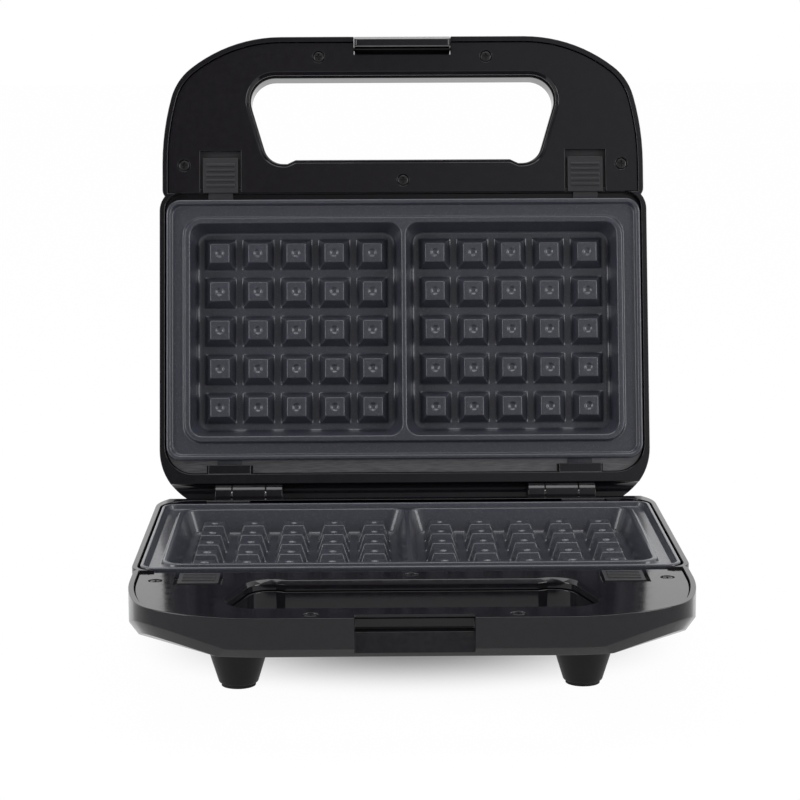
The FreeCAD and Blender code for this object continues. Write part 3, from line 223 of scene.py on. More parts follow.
def add_lamp(name, place, aim, size, power):
    lamp = bpy.data.lights.new(name, "AREA")
    lamp.shape = "RECTANGLE"
    lamp.size, lamp.size_y = size
    lamp.energy = power
    holder = bpy.data.objects.new(name, lamp)
    scene.collection.objects.link(holder)
    turn = (Vector(aim) - Vector(place)).to_track_quat("-Z", "Y").to_matrix().to_4x4()
    holder.matrix_world = Matrix.Translation(place) @ turn
    return holder


print("lamps:", ", ".join(add_lamp(*row).name for row in SOFTBOXES))

# %% [markdown]
# ## The white floor
# Paper under the cooker keeps its soft contact shadow, and further out it melts into the white background. Paper
# alone would turn grey at the far edge, so it is mixed with a plain white glow by the distance from the middle of
# the cooker, measured in an oval as wide as its footprint. That glow is painted light: it lifts the real shadow
# and sets how far out the shadow shows. In reflections the paper in front glows less, standing for the dark room
# there, which is a painted darker reflection.

# %% Lay the floor
FLOOR_HALF = 6.0
SHADOW_SHIFT = (0, -20 * MM, 0)
SHADOW_HALF_SIZES = (120 * MM, 85 * MM, 1.0)
PAPER_REACH, WHITE_REACH = 0.3, 1.15  # in half sizes of the oval
# Painted glow: the share of white emission inside the oval and outside it, which lifts the shadow.
PAPER_GLOW, WHITE_GLOW = 0.2, 0.98
# Painted reflection: how bright the paper in front shows in the gloss; behind, it is full white.
MIRRORED_PAPER = 0.5
MIRROR_FADE = (-0.1, 0.2)  # metres in front of and behind the middle


def make_floor():
    # Matt paper: it takes the soft shadow and has no gloss. Its white glow is painted light, low in the oval and
    # full outside it, and it lifts that shadow. In reflections the glow in front is dimmed, which is a painted
    # darker reflection.
    material, tree, out = new_material("paper_with_painted_glow")
    place = add_node(tree, "ShaderNodeTexCoord")
    moved = add_node(tree, "ShaderNodeVectorMath", {
        0: place.outputs["Object"], 1: SHADOW_SHIFT}, operation="ADD")
    oval = add_node(tree, "ShaderNodeVectorMath", {
        0: moved.outputs[0], 1: SHADOW_HALF_SIZES}, operation="DIVIDE")
    distance = add_node(tree, "ShaderNodeVectorMath", {0: oval.outputs[0]}, operation="LENGTH")
    white = add_node(tree, "ShaderNodeMapRange", {
        "Value": distance.outputs["Value"], "From Min": PAPER_REACH, "From Max": WHITE_REACH,
        "To Min": PAPER_GLOW, "To Max": WHITE_GLOW}, interpolation_type="SMOOTHSTEP")
    path = add_node(tree, "ShaderNodeLightPath")
    mirrors = add_node(tree, "ShaderNodeMath", {
        0: path.outputs["Is Glossy Ray"], 1: path.outputs["Is Transmission Ray"]},
        operation="MAXIMUM")
    sight = add_node(tree, "ShaderNodeMath", {
        0: path.outputs["Is Camera Ray"], 1: mirrors.outputs[0]}, operation="MAXIMUM")
    axes = add_node(tree, "ShaderNodeSeparateXYZ", {0: place.outputs["Object"]})
    mirrored = add_node(tree, "ShaderNodeMapRange", {
        "Value": axes.outputs["Y"], "From Min": MIRROR_FADE[0], "From Max": MIRROR_FADE[1],
        "To Min": MIRRORED_PAPER, "To Max": WHITE})
    level = add_node(tree, "ShaderNodeMix", {
        0: path.outputs["Is Camera Ray"], 2: mirrored.outputs[0], 3: WHITE})
    share = add_node(tree, "ShaderNodeMath", {
        0: white.outputs[0], 1: sight.outputs[0]}, operation="MULTIPLY")
    matte = add_node(tree, "ShaderNodeBsdfDiffuse", {"Color": linear("#f6f5f6")})
    glow = add_node(tree, "ShaderNodeEmission", {
        "Color": linear("#ffffff"), "Strength": level.outputs[0]})
    mix = add_node(tree, "ShaderNodeMixShader", {
        0: share.outputs[0], 1: matte.outputs[0], 2: glow.outputs[0]})
    tree.links.new(mix.outputs[0], out.inputs["Surface"])
    mesh = bpy.data.meshes.new("floor")
    corners = [(across * FLOOR_HALF, along * FLOOR_HALF, 0)
               for across, along in ((-1, -1), (1, -1), (1, 1), (-1, 1))]
    mesh.from_pydata(corners, [], [(0, 1, 2, 3)])
    mesh.materials.append(material)
    floor = bpy.data.objects.new("floor", mesh)
    scene.collection.objects.link(floor)
    return floor


print(make_floor().name, "of", 2 * FLOOR_HALF, "m")

# %% [markdown]
# ## One recipe for plain finishes
# Most surfaces of a cooker are one material with a grain: the flow of a moulding, the roll of a
# sheet, the tooth of rubber. Each could have a tree of its own, but one recipe does: it drifts
# between two close colours and two roughnesses over grains of a given size in millimetres, and
# raises the grain by a given height. A stretch draws the grain out along an axis, as rolling or
# drawing does to metal. Grains under about half a millimetre, as on rubber, nylon, rod and wire,
# are drawn coarser than they really are, or they wouldn't show.
#
# The first finish is that of the shells and covers. They are injection-moulded in a polished
# tool, so they mirror the studio with a faint orange peel.

# %% The recipe and the shells' gloss
NOISE_DETAIL = 3.0
NOISE_SPREAD = (0.35, 0.65)  # the part of the noise that the drift makes use of


def make_finish(name, colours, grain, roughness, height, shader=None, stretch=(1, 1, 1)):
    """A grained finish: colours and roughness are pairs, grain and height are in mm."""
    material, tree, out = new_material(name)
    place = add_node(tree, "ShaderNodeTexCoord")
    drawn = add_node(tree, "ShaderNodeMapping", {
        "Vector": place.outputs["Object"], "Scale": stretch})
    noise = add_node(tree, "ShaderNodeTexNoise", {
        "Vector": drawn.outputs[0], "Scale": 1 / (grain * MM), "Detail": NOISE_DETAIL})
    drift = add_node(tree, "ShaderNodeMapRange", {
        "Value": noise.outputs[0], "From Min": NOISE_SPREAD[0], "From Max": NOISE_SPREAD[1]})
    colour = add_node(tree, "ShaderNodeMix", {
        0: drift.outputs[0], 6: linear(colours[0]), 7: linear(colours[1])}, data_type="RGBA")
    rough = add_node(tree, "ShaderNodeMapRange", {
        "Value": drift.outputs[0], "To Min": roughness[0], "To Max": roughness[1]})
    bump = add_node(tree, "ShaderNodeBump", {
        "Height": drift.outputs[0], "Distance": height * MM})
    surface = add_node(tree, "ShaderNodeBsdfPrincipled", {
        "Base Color": colour.outputs[2], "Roughness": rough.outputs[0],
        "Normal": bump.outputs[0], **(shader or {})})
    tree.links.new(surface.outputs[0], out.inputs["Surface"])
    return material


# A deep black whose mirror image wavers a little, as the skin of the moulding isn't quite flat.
FINISHES = {"black_gloss": make_finish(
    "injection_moulded_black_abs", ("#110f13", "#141216"), 2.4, (0.09, 0.14), 0.0015,
    {"IOR": 1.54})}
print("first finish:", FINISHES["black_gloss"].name)

# %% [markdown]
# ## Moulded plastics and rubber
# Latch and feet come from tools with a finer satin, the ribbed buttons are matt for grip, and the
# pads are rubber, which scatters almost all of its light. One plastic for all of them would look
# like a single cast block; small steps in gloss are what tells the pieces apart.

# %% Plastics and rubber
FINISHES.update({
    # Slightly softer than the shells: highlights spread along the rounded edge.
    "latch_plastic": make_finish(
        "satin_moulded_black_pc", ("#131215", "#17161a"), 1.2, (0.1, 0.16), 0.0012),
    # A grey-black that stays matt, so that only the ribs' edges catch a line of light.
    "button_plastic": make_finish(
        "spark_eroded_black_nylon", ("#1f1f22", "#27272a"), 0.35, (0.42, 0.55), 0.012),
    # Satin polypropylene: broad, dull highlights round the cone.
    "foot_plastic": make_finish(
        "satin_moulded_polypropylene", ("#0f0e11", "#141316"), 0.9, (0.36, 0.46), 0.004,
        {"Specular IOR Level": 0.3}),
    # Rubber drinks the light, and a fine tooth keeps it from looking like plastic.
    "foot_rubber": make_finish(
        "moulded_rubber", ("#101011", "#18181a"), 0.5, (0.75, 0.9), 0.02),
    # Soft vinyl is smoother than rubber and keeps a dull sheen.
    "gland_rubber": make_finish(
        "moulded_soft_pvc", ("#111113", "#17171a"), 0.7, (0.5, 0.65), 0.01),
    # Off-white nylon, a little translucent: soft edges without a sharp gloss.
    "terminal_nylon": make_finish(
        "moulded_natural_nylon", ("#d9d3c4", "#e4dfd2"), 1.5, (0.4, 0.52), 0.004,
        {"Subsurface Weight": 0.1, "Subsurface Scale": 0.002}),
})
print("plastics:", ", ".join(material.name for material in FINISHES.values()))

# %% [markdown]
# ## Metals, ceramic and glass
# None of these pieces shows more than an edge in the photo, but each has its own finish when the
# cooker is opened: aluminised pans, dull heater sheaths, plated clips, turned pins and black
# screws. The recipe serves for them too, with a metal, a coat or a see-through share set on the
# shader.

# %% Metals, ceramic and glass
METAL = {"Metallic": 1.0}
TINTED = {"IOR": 1.58, "Transmission Weight": 0.35}
FINISHES.update({
    # Aluminised sheet: bright, with the faint streaks of the rolling mill along its length.
    "reflector_steel": make_finish(
        "rolled_aluminised_steel", ("#86868a", "#9c9c9f"), 6.0, (0.28, 0.4), 0.003, METAL,
        (1, 12, 12)),
    # A sheath that has been hot: brown-grey and blotchy.
    "heater_steel": make_finish(
        "annealed_alloy_steel_sheath", ("#4f4b47", "#6d6862"), 3.0, (0.38, 0.55), 0.006, METAL),
    # Zinc plate: cool and slightly cloudy.
    "clip_steel": make_finish(
        "zinc_plated_steel", ("#a9adb2", "#c3c7cb"), 1.6, (0.26, 0.36), 0.003, METAL),
    # Turned rod: fine rings run across the axis, so the shine stretches along it.
    "pin_steel": make_finish(
        "turned_bright_steel", ("#b7b8ba", "#cfd0d1"), 0.5, (0.16, 0.24), 0.002, METAL,
        (12, 1, 1)),
    # A phosphate skin as dark as the plastic, with an oily film: the edges glint faintly.
    "screw_steel": make_finish(
        "black_phosphated_steel", ("#0e0e10", "#161618"), 0.4, (0.3, 0.42), 0.004,
        {"Coat Weight": 0.25, "Coat Roughness": 0.1}),
    # Hard-drawn wire keeps the grey of its drawing soap.
    "spring_steel": make_finish(
        "hard_drawn_spring_wire", ("#8f9194", "#a9abae"), 0.5, (0.25, 0.36), 0.002, METAL),
    # Nickel plate, warm beside the zinc.
    "thermostat_steel": make_finish(
        "nickel_plated_steel", ("#b6b0a5", "#c9c3b8"), 1.2, (0.2, 0.3), 0.002, METAL),
    # Fired and unglazed: chalky, with a fine grit.
    "fuse_ceramic": make_finish(
        "unglazed_ceramic", ("#d2cab9", "#e0d9ca"), 0.6, (0.7, 0.85), 0.015),
    # Tinted polycarbonate, red and green: it lets light in and keeps one colour.
    "power_red": make_finish(
        "red_tinted_polycarbonate", ("#a01016", "#b8151c"), 2.0, (0.06, 0.12), 0.001, TINTED),
    "ready_green": make_finish(
        "green_tinted_polycarbonate", ("#14803a", "#1b9445"), 2.0, (0.06, 0.12), 0.001, TINTED),
    # The glass of a neon lamp, with a breath of the orange gas inside.
    "lamp_glass": make_finish(
        "blown_neon_lamp_glass", ("#f0b48a", "#f6c8a4"), 3.0, (0.02, 0.06), 0.001,
        {"Transmission Weight": 0.85}),
})
print(len(FINISHES), "plain finishes")

# %% [markdown]
# ## The non-stick coating
# The plates are cast aluminium, blasted and then sprayed with a dark fluoropolymer. Two scales
# show, so the one noise of the recipe isn't enough: the soft pebble of the blasted casting under
# the film, and the fine light flecks in the film itself. A thin clear layer gives the edges of
# rims and studs their silvery lines.

# %% Non-stick coating
PEBBLE, FLECK = 0.9, 0.28  # mm across; both are drawn a few times too coarse, or they wouldn't show
PEBBLE_DETAIL, PEBBLE_HEIGHT = 2.0, 0.008
PEBBLE_SPREAD, COATING_ROUGHNESS = (0.3, 0.7), (0.36, 0.48)
FLECK_SPREAD = (0.88, 1.0)  # about one cell in eight is a fleck
COATING_TONES, FLECK_TONE = ("#292b33", "#32343d"), "#4a4c56"
CLEAR_LAYER = {"Coat Weight": 0.7, "Coat Roughness": 0.14}


def make_nonstick():
    # A slate-dark film: satin on the flats, with a fine sparkle and bright lines on the edges.
    material, tree, out = new_material("sprayed_ptfe_on_cast_aluminium")
    place = add_node(tree, "ShaderNodeTexCoord")
    pebble = add_node(tree, "ShaderNodeTexNoise", {
        "Vector": place.outputs["Object"], "Scale": 1 / (PEBBLE * MM), "Detail": PEBBLE_DETAIL})
    cells = add_node(tree, "ShaderNodeTexVoronoi", {
        "Vector": place.outputs["Object"], "Scale": 1 / (FLECK * MM)})
    tint = add_node(tree, "ShaderNodeSeparateColor", {0: cells.outputs["Color"]})
    fleck = add_node(tree, "ShaderNodeMapRange", {
        "Value": tint.outputs[0], "From Min": FLECK_SPREAD[0], "From Max": FLECK_SPREAD[1]})
    tone = add_node(tree, "ShaderNodeMix", {
        0: pebble.outputs[0], 6: linear(COATING_TONES[0]), 7: linear(COATING_TONES[1])},
        data_type="RGBA")
    colour = add_node(tree, "ShaderNodeMix", {
        0: fleck.outputs[0], 6: tone.outputs[2], 7: linear(FLECK_TONE)}, data_type="RGBA")
    rough = add_node(tree, "ShaderNodeMapRange", {
        "Value": pebble.outputs[0], "From Min": PEBBLE_SPREAD[0], "From Max": PEBBLE_SPREAD[1],
        "To Min": COATING_ROUGHNESS[0], "To Max": COATING_ROUGHNESS[1]})
    bump = add_node(tree, "ShaderNodeBump", {
        "Height": pebble.outputs[0], "Distance": PEBBLE_HEIGHT * MM})
    surface = add_node(tree, "ShaderNodeBsdfPrincipled", {
        "Base Color": colour.outputs[2], "Roughness": rough.outputs[0],
        "Normal": bump.outputs[0], **CLEAR_LAYER})
    tree.links.new(surface.outputs[0], out.inputs["Surface"])
    return material


FINISHES["nonstick"] = make_nonstick()
print("coated castings:", FINISHES["nonstick"].name)

# %% [markdown]
# ## Pieces that stay as they are
# Pins, pans, heaters, clips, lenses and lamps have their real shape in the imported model, so they
# could be drawn again but needn't be. Every node gets its finish, and those that nothing replaces
# below are shown as they are.

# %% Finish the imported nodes
for node, slot in SLOT_OF.items():
    materials = frame["nodes"][node].data.materials
    materials.clear()
    materials.append(FINISHES[slot])
print(len(SLOT_OF), "nodes carry", len(set(SLOT_OF.values())), "finishes")

# %% [markdown]
# ## Two mouldings with a form of their own
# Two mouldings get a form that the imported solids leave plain. The underside of the base's bow
# rises at both front corners in a flat facet, so its lower edge runs up towards the ends like the
# bottom of a boat. The latch comes flush with the edge of the lid, and its free end has a sloping
# lip for the fingertip, which catches a white line along the top. New meshes could be drawn for
# both, but cutting the copy along a line and moving what lies beyond it keeps all other detail.

# %% Forms of the base and the latch
FACET_ENDS = ((115.0, -174.8), (81.0, -218.8))  # mm, in the half's own frame, as all below
FACET_SLOPE = 0.47
FACET_DEPTHS = (6.0, 13.5)  # nothing moves above the first, all of it below the second
LIP_START, LIP_SLOPE = -0.5, math.tan(math.radians(22))
LATCH_SKIN, LATCH_TOP, LATCH_PIVOT = -223.6, -225.45, 12.0
LATCH_WIDER = 1.009


def split_along(shape, place, facing):
    """Cut the faces of a shape along a plane, so that they can bend there."""
    everything = shape.verts[:] + shape.edges[:] + shape.faces[:]
    bmesh.ops.bisect_plane(shape, geom=everything, plane_co=place, plane_no=facing)


def lift_corners(shape):
    """Raise the underside of the bow outside a slanting line at each front corner."""
    for side in (-1, 1):
        start, end = [Vector((side * across, along, 0)) * MM for across, along in FACET_ENDS]
        outward = Vector((0, 0, side)).cross(end - start).normalized()
        split_along(shape, start, outward)
        for vertex in shape.verts:
            reach = max((vertex.co - start).dot(outward), 0)
            share = (vertex.co.z / MM - FACET_DEPTHS[0]) / (FACET_DEPTHS[1] - FACET_DEPTHS[0])
            vertex.co.z -= FACET_SLOPE * reach * min(max(share, 0), 1)


def slope_latch(shape):
    """Bring the latch's outer face flush with the lid and slope its free end."""
    split_along(shape, (0, 0, LIP_START * MM), (0, 0, 1))
    for vertex in shape.verts:
        depth = vertex.co.z / MM
        if vertex.co.y / MM < LATCH_SKIN and depth < LATCH_PIVOT:
            vertex.co.y = (LATCH_TOP + LIP_SLOPE * max(LIP_START - depth, 0)) * MM
        vertex.co.x *= LATCH_WIDER


FORMS = {"base_shell": ("base", lift_corners), "latch_clip": ("lid", slope_latch)}
print("own forms:", ", ".join(FORMS))

# %% [markdown]
# ## From a node to a piece
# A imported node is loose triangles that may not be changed. A piece that stands for one starts as
# a copy, merged to one skin and freed of the edges on its flat faces, because a bevel would
# otherwise follow every triangle. When its modifiers have done their work they are turned into
# plain mesh, and the piece then takes the node's place, its body and its finish.

# %% Helpers for pieces
MERGE_DISTANCE = 1e-6
SHORT_EDGE = 0.12 * MM
FLAT_ANGLE = math.radians(0.5)


def merged_mesh(node):
    """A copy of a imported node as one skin, without the extra edges on its flat faces."""
    shape = bmesh.new()
    shape.from_mesh(frame["nodes"][node].data)
    bmesh.ops.remove_doubles(shape, verts=shape.verts, dist=MERGE_DISTANCE)
    if node in FORMS:
        half, give_form = FORMS[node]
        shape.transform(SEATS[half].inverted())
        give_form(shape)
        shape.transform(SEATS[half])
    bmesh.ops.dissolve_degenerate(shape, dist=SHORT_EDGE, edges=shape.edges)
    bmesh.ops.dissolve_limit(shape, angle_limit=FLAT_ANGLE, verts=shape.verts, edges=shape.edges)
    mesh = bpy.data.meshes.new(node + "_dressed")
    shape.to_mesh(mesh)
    shape.free()
    if "custom_normal" in mesh.attributes:
        mesh.attributes.remove(mesh.attributes["custom_normal"])
    mesh.shade_smooth()
    return mesh


def add_piece(name, mesh):
    piece = bpy.data.objects.new(name, mesh)
    scene.collection.objects.link(piece)
    return piece


def make_plain(piece):
    """Turn a piece's modifiers into its mesh."""
    graph = bpy.context.evaluated_depsgraph_get()
    ready = piece.evaluated_get(graph)
    mesh = bpy.data.meshes.new_from_object(ready, preserve_all_data_layers=True, depsgraph=graph)
    piece.modifiers.clear()
    piece.data = mesh
    return mesh


def stand_for(piece, node):
    """Let a piece move with its node's body and take the node's place and finish."""
    piece.data.materials.clear()
    piece.data.materials.append(FINISHES[SLOT_OF[node]])
    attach(piece, BODY_OF[node])
    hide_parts(node)


print("edges under", round(SHORT_EDGE / MM, 2), "mm are merged away")

# %% [markdown]
# ## Rounded edges for the mouldings
# No moulded edge is sharp: the cutter that makes the tool leaves a small radius, and that radius is what draws a
# thin bright line round every form. A shader can fake such a line, but a real bevel also shows in the outline and
# in the mesh itself. Each moulding has a width of its own, and weighted normals keep the large faces flat between
# the bevels.

# %% Round the mouldings
EDGE_ANGLE = math.radians(24)
BEVEL_SEGMENTS = 2
BEVEL_WIDTHS = {
    "base_shell": 0.32, "lid_shell": 0.32, "base_frame": 0.3, "lid_frame": 0.3,
    "latch_clip": 0.3, "lower_button_left": 0.22, "lower_button_right": 0.22,
    "upper_button_left": 0.22, "upper_button_right": 0.22, "foot_front_left": 0.5,
    "foot_front_right": 0.5, "foot_rear_left": 0.5, "foot_rear_right": 0.5,
}


def dress(node, width):
    piece = add_piece(node + "_dressed", merged_mesh(node))
    bevel = piece.modifiers.new("tool_radius", "BEVEL")
    bevel.width = width * MM
    bevel.segments = BEVEL_SEGMENTS
    bevel.limit_method = "ANGLE"
    bevel.angle_limit = EDGE_ANGLE
    bevel.use_clamp_overlap = False
    even = piece.modifiers.new("even_shading", "WEIGHTED_NORMAL")
    even.keep_sharp = True
    make_plain(piece)
    stand_for(piece, node)
    return piece


for node, width in BEVEL_WIDTHS.items():
    print(node, len(dress(node, width).data.polygons), "faces")

# %% [markdown]
# ## Rings and lofts
# The castings are drawn as rings: rounded rectangles or circles that all have the same number of
# points, at the depths of a profile. Cutting them from a block would leave ragged faces, while
# joining ring to ring with quads gives an even skin. Every corner of a profile is rounded first,
# as the casting is by its mould and its coating.

# %% Ring helpers
CORNER_STEPS = 6
SIDE_SHARES = (0.03, 0.97)
SOFT_STEPS = 3


def rounded_ring(across, along, corner, depth, steps=CORNER_STEPS, shares=SIDE_SHARES):
    """Points of a rounded rectangle of two half sizes, in mm; shares add points on its sides."""
    corners = []
    for turn, (side_x, side_y) in enumerate(((1, 1), (-1, 1), (-1, -1), (1, -1))):
        angles = [math.pi / 2 * (turn + step / steps) for step in range(steps + 1)]
        corners.append([Vector((side_x * (across - corner) + corner * math.cos(angle),
                                side_y * (along - corner) + corner * math.sin(angle), depth))
                        for angle in angles])
    ring = []
    for here, after in zip(corners, corners[1:] + corners[:1]):
        ring += here + [here[-1].lerp(after[0], share) for share in shares]
    return ring


def polar_ring(angles, reaches, depth):
    """Points round the origin, each at its own angle and reach, in mm."""
    return [Vector((reach * math.cos(angle), reach * math.sin(angle), depth))
            for angle, reach in zip(angles, reaches)]


def soften(corners, steps=SOFT_STEPS):
    """A profile of (across, depth, run) whose corners are rounded over their run."""
    path = []
    for index, (across, depth, run) in enumerate(corners):
        corner = Vector((across, depth))
        if not run:
            path.append(corner)
            continue
        enter = corner + (Vector(corners[index - 1][:2]) - corner).normalized() * run
        leave = corner + (Vector(corners[index + 1][:2]) - corner).normalized() * run
        for step in range(steps + 1):
            share = step / steps
            path.append(enter.lerp(corner, share).lerp(corner.lerp(leave, share), share))
    return path


def loft(shape, rings, caps=()):
    """Join successive rings with quads and close those in caps; returns the rows of vertices."""
    rows = [[shape.verts.new(point * MM) for point in ring] for ring in rings]
    for first, second in zip(rows, rows[1:]):
        for here in range(len(first)):
            after = (here + 1) % len(first)
            shape.faces.new((first[here], first[after], second[after], second[here]))
    for index in caps:
        shape.faces.new(rows[index])
    return rows


def finish_shape(shape, name):
    """The shape as a smooth mesh with its faces outwards."""
    bmesh.ops.recalc_face_normals(shape, faces=shape.faces)
    mesh = bpy.data.meshes.new(name)
    shape.to_mesh(mesh)
    shape.free()
    mesh.shade_smooth()
    return mesh


print(len(rounded_ring(10, 10, 2, 0)), "points in a ring")

# %% [markdown]
# ## The plate without its studs
# Both plates come from one mould. From the back the profile runs up the outside to the rim, down
# into a shallow tray, up to the bead round the cavities and, inside each mouth, down the sloping
# wall to the floor. The web between the two cavities stands lower than the bead, and four lugs
# hold the plate in its half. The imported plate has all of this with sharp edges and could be
# bevelled, but its roundings are larger than its steps, so it is lofted anew on the same sizes.

# %% Cast the plates
PLATE_HALF_ACROSS, PLATE_HALF_ALONG, PLATE_MIDDLE, PLATE_CORNER = 116.4, 64.0, 81.0, 7.0
PLATE_BACK, FLANGE_DEPTH, RIM_TOP, TRAY_DEPTH, BEAD_TOP = 14.35, 5.25, 0.25, 2.75, 0.85
RIM_WIDTH, TRAY_START, BEAD_FOOT, BEAD_CORNER = 2.1, 2.8, 8.4, 9.0
MOUTH_HALF_ACROSS, MOUTH_HALF_ALONG, CAVITY_CENTRE, CAVITY_CORNER = 51.9, 52.4, 52.9, 6.0
CAVITY_RUN, CAVITY_FLOOR, WEB_DROP, WEB_FADE = 3.4, 11.85, 1.0, 4.0
PLATE_PROFILE = soften((  # inset from the outline, depth, run of the rounding
    (14.5, PLATE_BACK, 0), (12.5, PLATE_BACK, 1.0),  # the back and its edge
    (9.1, FLANGE_DEPTH, 0.8), (0, FLANGE_DEPTH, 0.3),  # the foot of the body and the flange
    (0, RIM_TOP, 0.95), (RIM_WIDTH, RIM_TOP, 0.7),  # the rim
    (TRAY_START, TRAY_DEPTH, 0.7), (BEAD_FOOT, TRAY_DEPTH, 0.7),  # the tray
    (9.0, BEAD_TOP, 0.55), (9.9, BEAD_TOP, 0)))  # the bead
CAVITY_PROFILE = soften((  # inset from the mouth, depth, run of the rounding
    (-0.8, BEAD_TOP, 0), (0, BEAD_TOP, 0.7),  # the mouth
    (CAVITY_RUN, CAVITY_FLOOR, 1.3), (5.2, CAVITY_FLOOR, 0)))  # the floor
LUGS = ((89.75, 145.5, 5.0), (85.6, 16.0, 8.0))  # place across, place along, length
LUG_WIDTH, LUG_THICKNESS = 12.0, 1.0
NEAR, STRAIGHT_SHARE = 0.01, 0.99  # which points of a ring are on the straight side at the web
PLATE_SEATS = {"lower_plate": "base", "upper_plate": "lid"}


def plate_ring(inset, depth):
    bead_share = min(max((inset - TRAY_START) / (BEAD_FOOT - TRAY_START), 0), 1)
    corner = (PLATE_CORNER - min(inset, RIM_WIDTH)) * (1 - bead_share) + BEAD_CORNER * bead_share
    return rounded_ring(PLATE_HALF_ACROSS - inset, PLATE_HALF_ALONG - inset, corner, depth)


def cavity_ring(side, inset, depth):
    """A ring of one cavity; the points of its side at the web stand lower near the mouth."""
    corner = CAVITY_CORNER + max(-inset, 0) - max(inset - CAVITY_RUN, 0)
    across, along = MOUTH_HALF_ACROSS - inset, MOUTH_HALF_ALONG - inset
    drop = WEB_DROP * max(1 - (depth - BEAD_TOP) / WEB_FADE, 0)
    ring = rounded_ring(across, along, corner, depth)
    for point in ring:
        if side * point.x < NEAR - across and abs(point.y) < STRAIGHT_SHARE * (along - corner):
            point.z += drop
        point.x += side * CAVITY_CENTRE
    return ring


def row_edges(shape, row):
    return [shape.edges.get((row[index - 1], row[index])) for index in range(len(row))]


def cast_plate(name):
    shape = bmesh.new()
    skin = loft(shape, [plate_ring(*point) for point in PLATE_PROFILE], caps=(0,))
    top_edges = row_edges(shape, skin[-1])
    for side in (-1, 1):
        rows = loft(shape, [cavity_ring(side, *point) for point in CAVITY_PROFILE], caps=(-1,))
        top_edges += row_edges(shape, rows[0])
    bmesh.ops.triangle_fill(shape, use_beauty=True, edges=top_edges)
    lug_depth = FLANGE_DEPTH - LUG_THICKNESS / 2
    for across, forward, length in LUGS:
        size = Vector((LUG_WIDTH, length, LUG_THICKNESS)) * MM
        for side in (-1, 1):
            middle = Vector((side * across, PLATE_MIDDLE - forward, lug_depth)) * MM
            place = Matrix.LocRotScale(middle, None, size)
            bmesh.ops.create_cube(shape, size=1.0, matrix=place)
    return finish_shape(shape, name)


plates = {node: add_piece(node + "_cast", cast_plate(node + "_cast")) for node in PLATE_SEATS}
print({node: len(piece.data.polygons) for node, piece in plates.items()})

# %% [markdown]
# ## One stud
# A stud is a blunt pyramid with rounded edges, a fillet at its foot and a small round dimple in
# its top, where the pin that pushes the casting out of its mould stood. A bevelled cube would give
# the pyramid but not the dimple, so it is lofted too: squares up the sides, circles into the top.

# %% Model a stud
STUD_BASE, STUD_TOP, STUD_HEIGHT, STUD_CORNER, STUD_CORNER_STEPS = 7.4, 4.65, 7.5, 0.6, 4
DIMPLE_RADIUS, DIMPLE_FLOOR, DIMPLE_DEPTH = 2.1, 0.9, 0.8
STUD_PROFILE = soften((  # half size, depth from the cavity's floor, run of the rounding
    (8.3, 0.4, 0), (8.5, 0.05, 0),  # the foot, sunk into the floor
    (STUD_BASE, 0, 0.9), (STUD_TOP, -STUD_HEIGHT, 0.5), (3.4, -STUD_HEIGHT, 0)))
DIMPLE_PROFILE = soften((  # radius, depth, run of the rounding
    (2.6, -STUD_HEIGHT, 0), (DIMPLE_RADIUS, -STUD_HEIGHT, 0.35),
    (1.6, 0.6 * DIMPLE_DEPTH - STUD_HEIGHT, 0.3),
    (DIMPLE_FLOOR, DIMPLE_DEPTH - STUD_HEIGHT, 0.25),
    (0.3, DIMPLE_DEPTH + 0.05 - STUD_HEIGHT, 0)))


def make_stud():
    shape = bmesh.new()
    squares = [rounded_ring(half, half, STUD_CORNER, depth, STUD_CORNER_STEPS, ())
               for half, depth in STUD_PROFILE]
    count = len(squares[0])
    angles = [2 * math.pi * (index + 0.5) / count for index in range(count)]
    circles = [polar_ring(angles, [radius] * count, depth) for radius, depth in DIMPLE_PROFILE]
    loft(shape, squares + circles, caps=(0, -1))
    return add_piece("stud", finish_shape(shape, "stud"))


stud = make_stud()
print(len(stud.data.polygons), "faces in a stud")

# %% [markdown]
# ## Trees with named inputs
# What repeats or follows a path is set out by Geometry Nodes. Loops in the script could do it too,
# but a tree keeps its sizes as named inputs that can be tried out by hand. Every tree ends in the
# same way: its instances are made real and given their finish.


# %% Geometry tree helpers
def new_tree(name, sockets):
    """A geometry tree with named inputs: the tree, its input node and its output node."""
    tree = bpy.data.node_groups.new(name, "GeometryNodeTree")
    tree.interface.new_socket("Geometry", in_out="INPUT", socket_type="NodeSocketGeometry")
    for label, kind in sockets.items():
        tree.interface.new_socket(label, in_out="INPUT", socket_type="NodeSocket" + kind)
    tree.interface.new_socket("Geometry", in_out="OUTPUT", socket_type="NodeSocketGeometry")
    return tree, add_node(tree, "NodeGroupInput"), add_node(tree, "NodeGroupOutput")


def end_tree(tree, given, out, shape):
    """End a tree: make its instances real, give them the finish and hand them out."""
    real = add_node(tree, "GeometryNodeRealizeInstances", {"Geometry": shape})
    finished = add_node(tree, "GeometryNodeSetMaterial", {
        "Geometry": real.outputs[0], "Material": given.outputs["Finish"]})
    tree.links.new(finished.outputs[0], out.inputs[0])
    return tree


def run_tree(piece, tree, values):
    """Give a piece the tree as a modifier, with its inputs set by their identifiers."""
    modifier = piece.modifiers.new(tree.name, "NODES")
    modifier.node_group = tree
    for socket in tree.interface.items_tree:
        if socket.in_out == "INPUT" and socket.name in values:
            modifier[socket.identifier] = values[socket.name]


print("helpers:", ", ".join(helper.__name__ for helper in (new_tree, end_tree, run_tree)))

# %% [markdown]
# ## Rows of studs
# The studs of a cavity follow a rule, so a tree sets them out: a grid of points, a stud on each,
# and the same rows once to the left and once to the right. Copies placed by hand would have to be
# moved one by one when the pitch changes. The result is joined to the casting and turned into one
# plain mesh.

# %% Set out the studs
STUD_ROWS, STUD_PITCH_ACROSS, STUD_PITCH_ALONG = 5, 18.75, 19.0


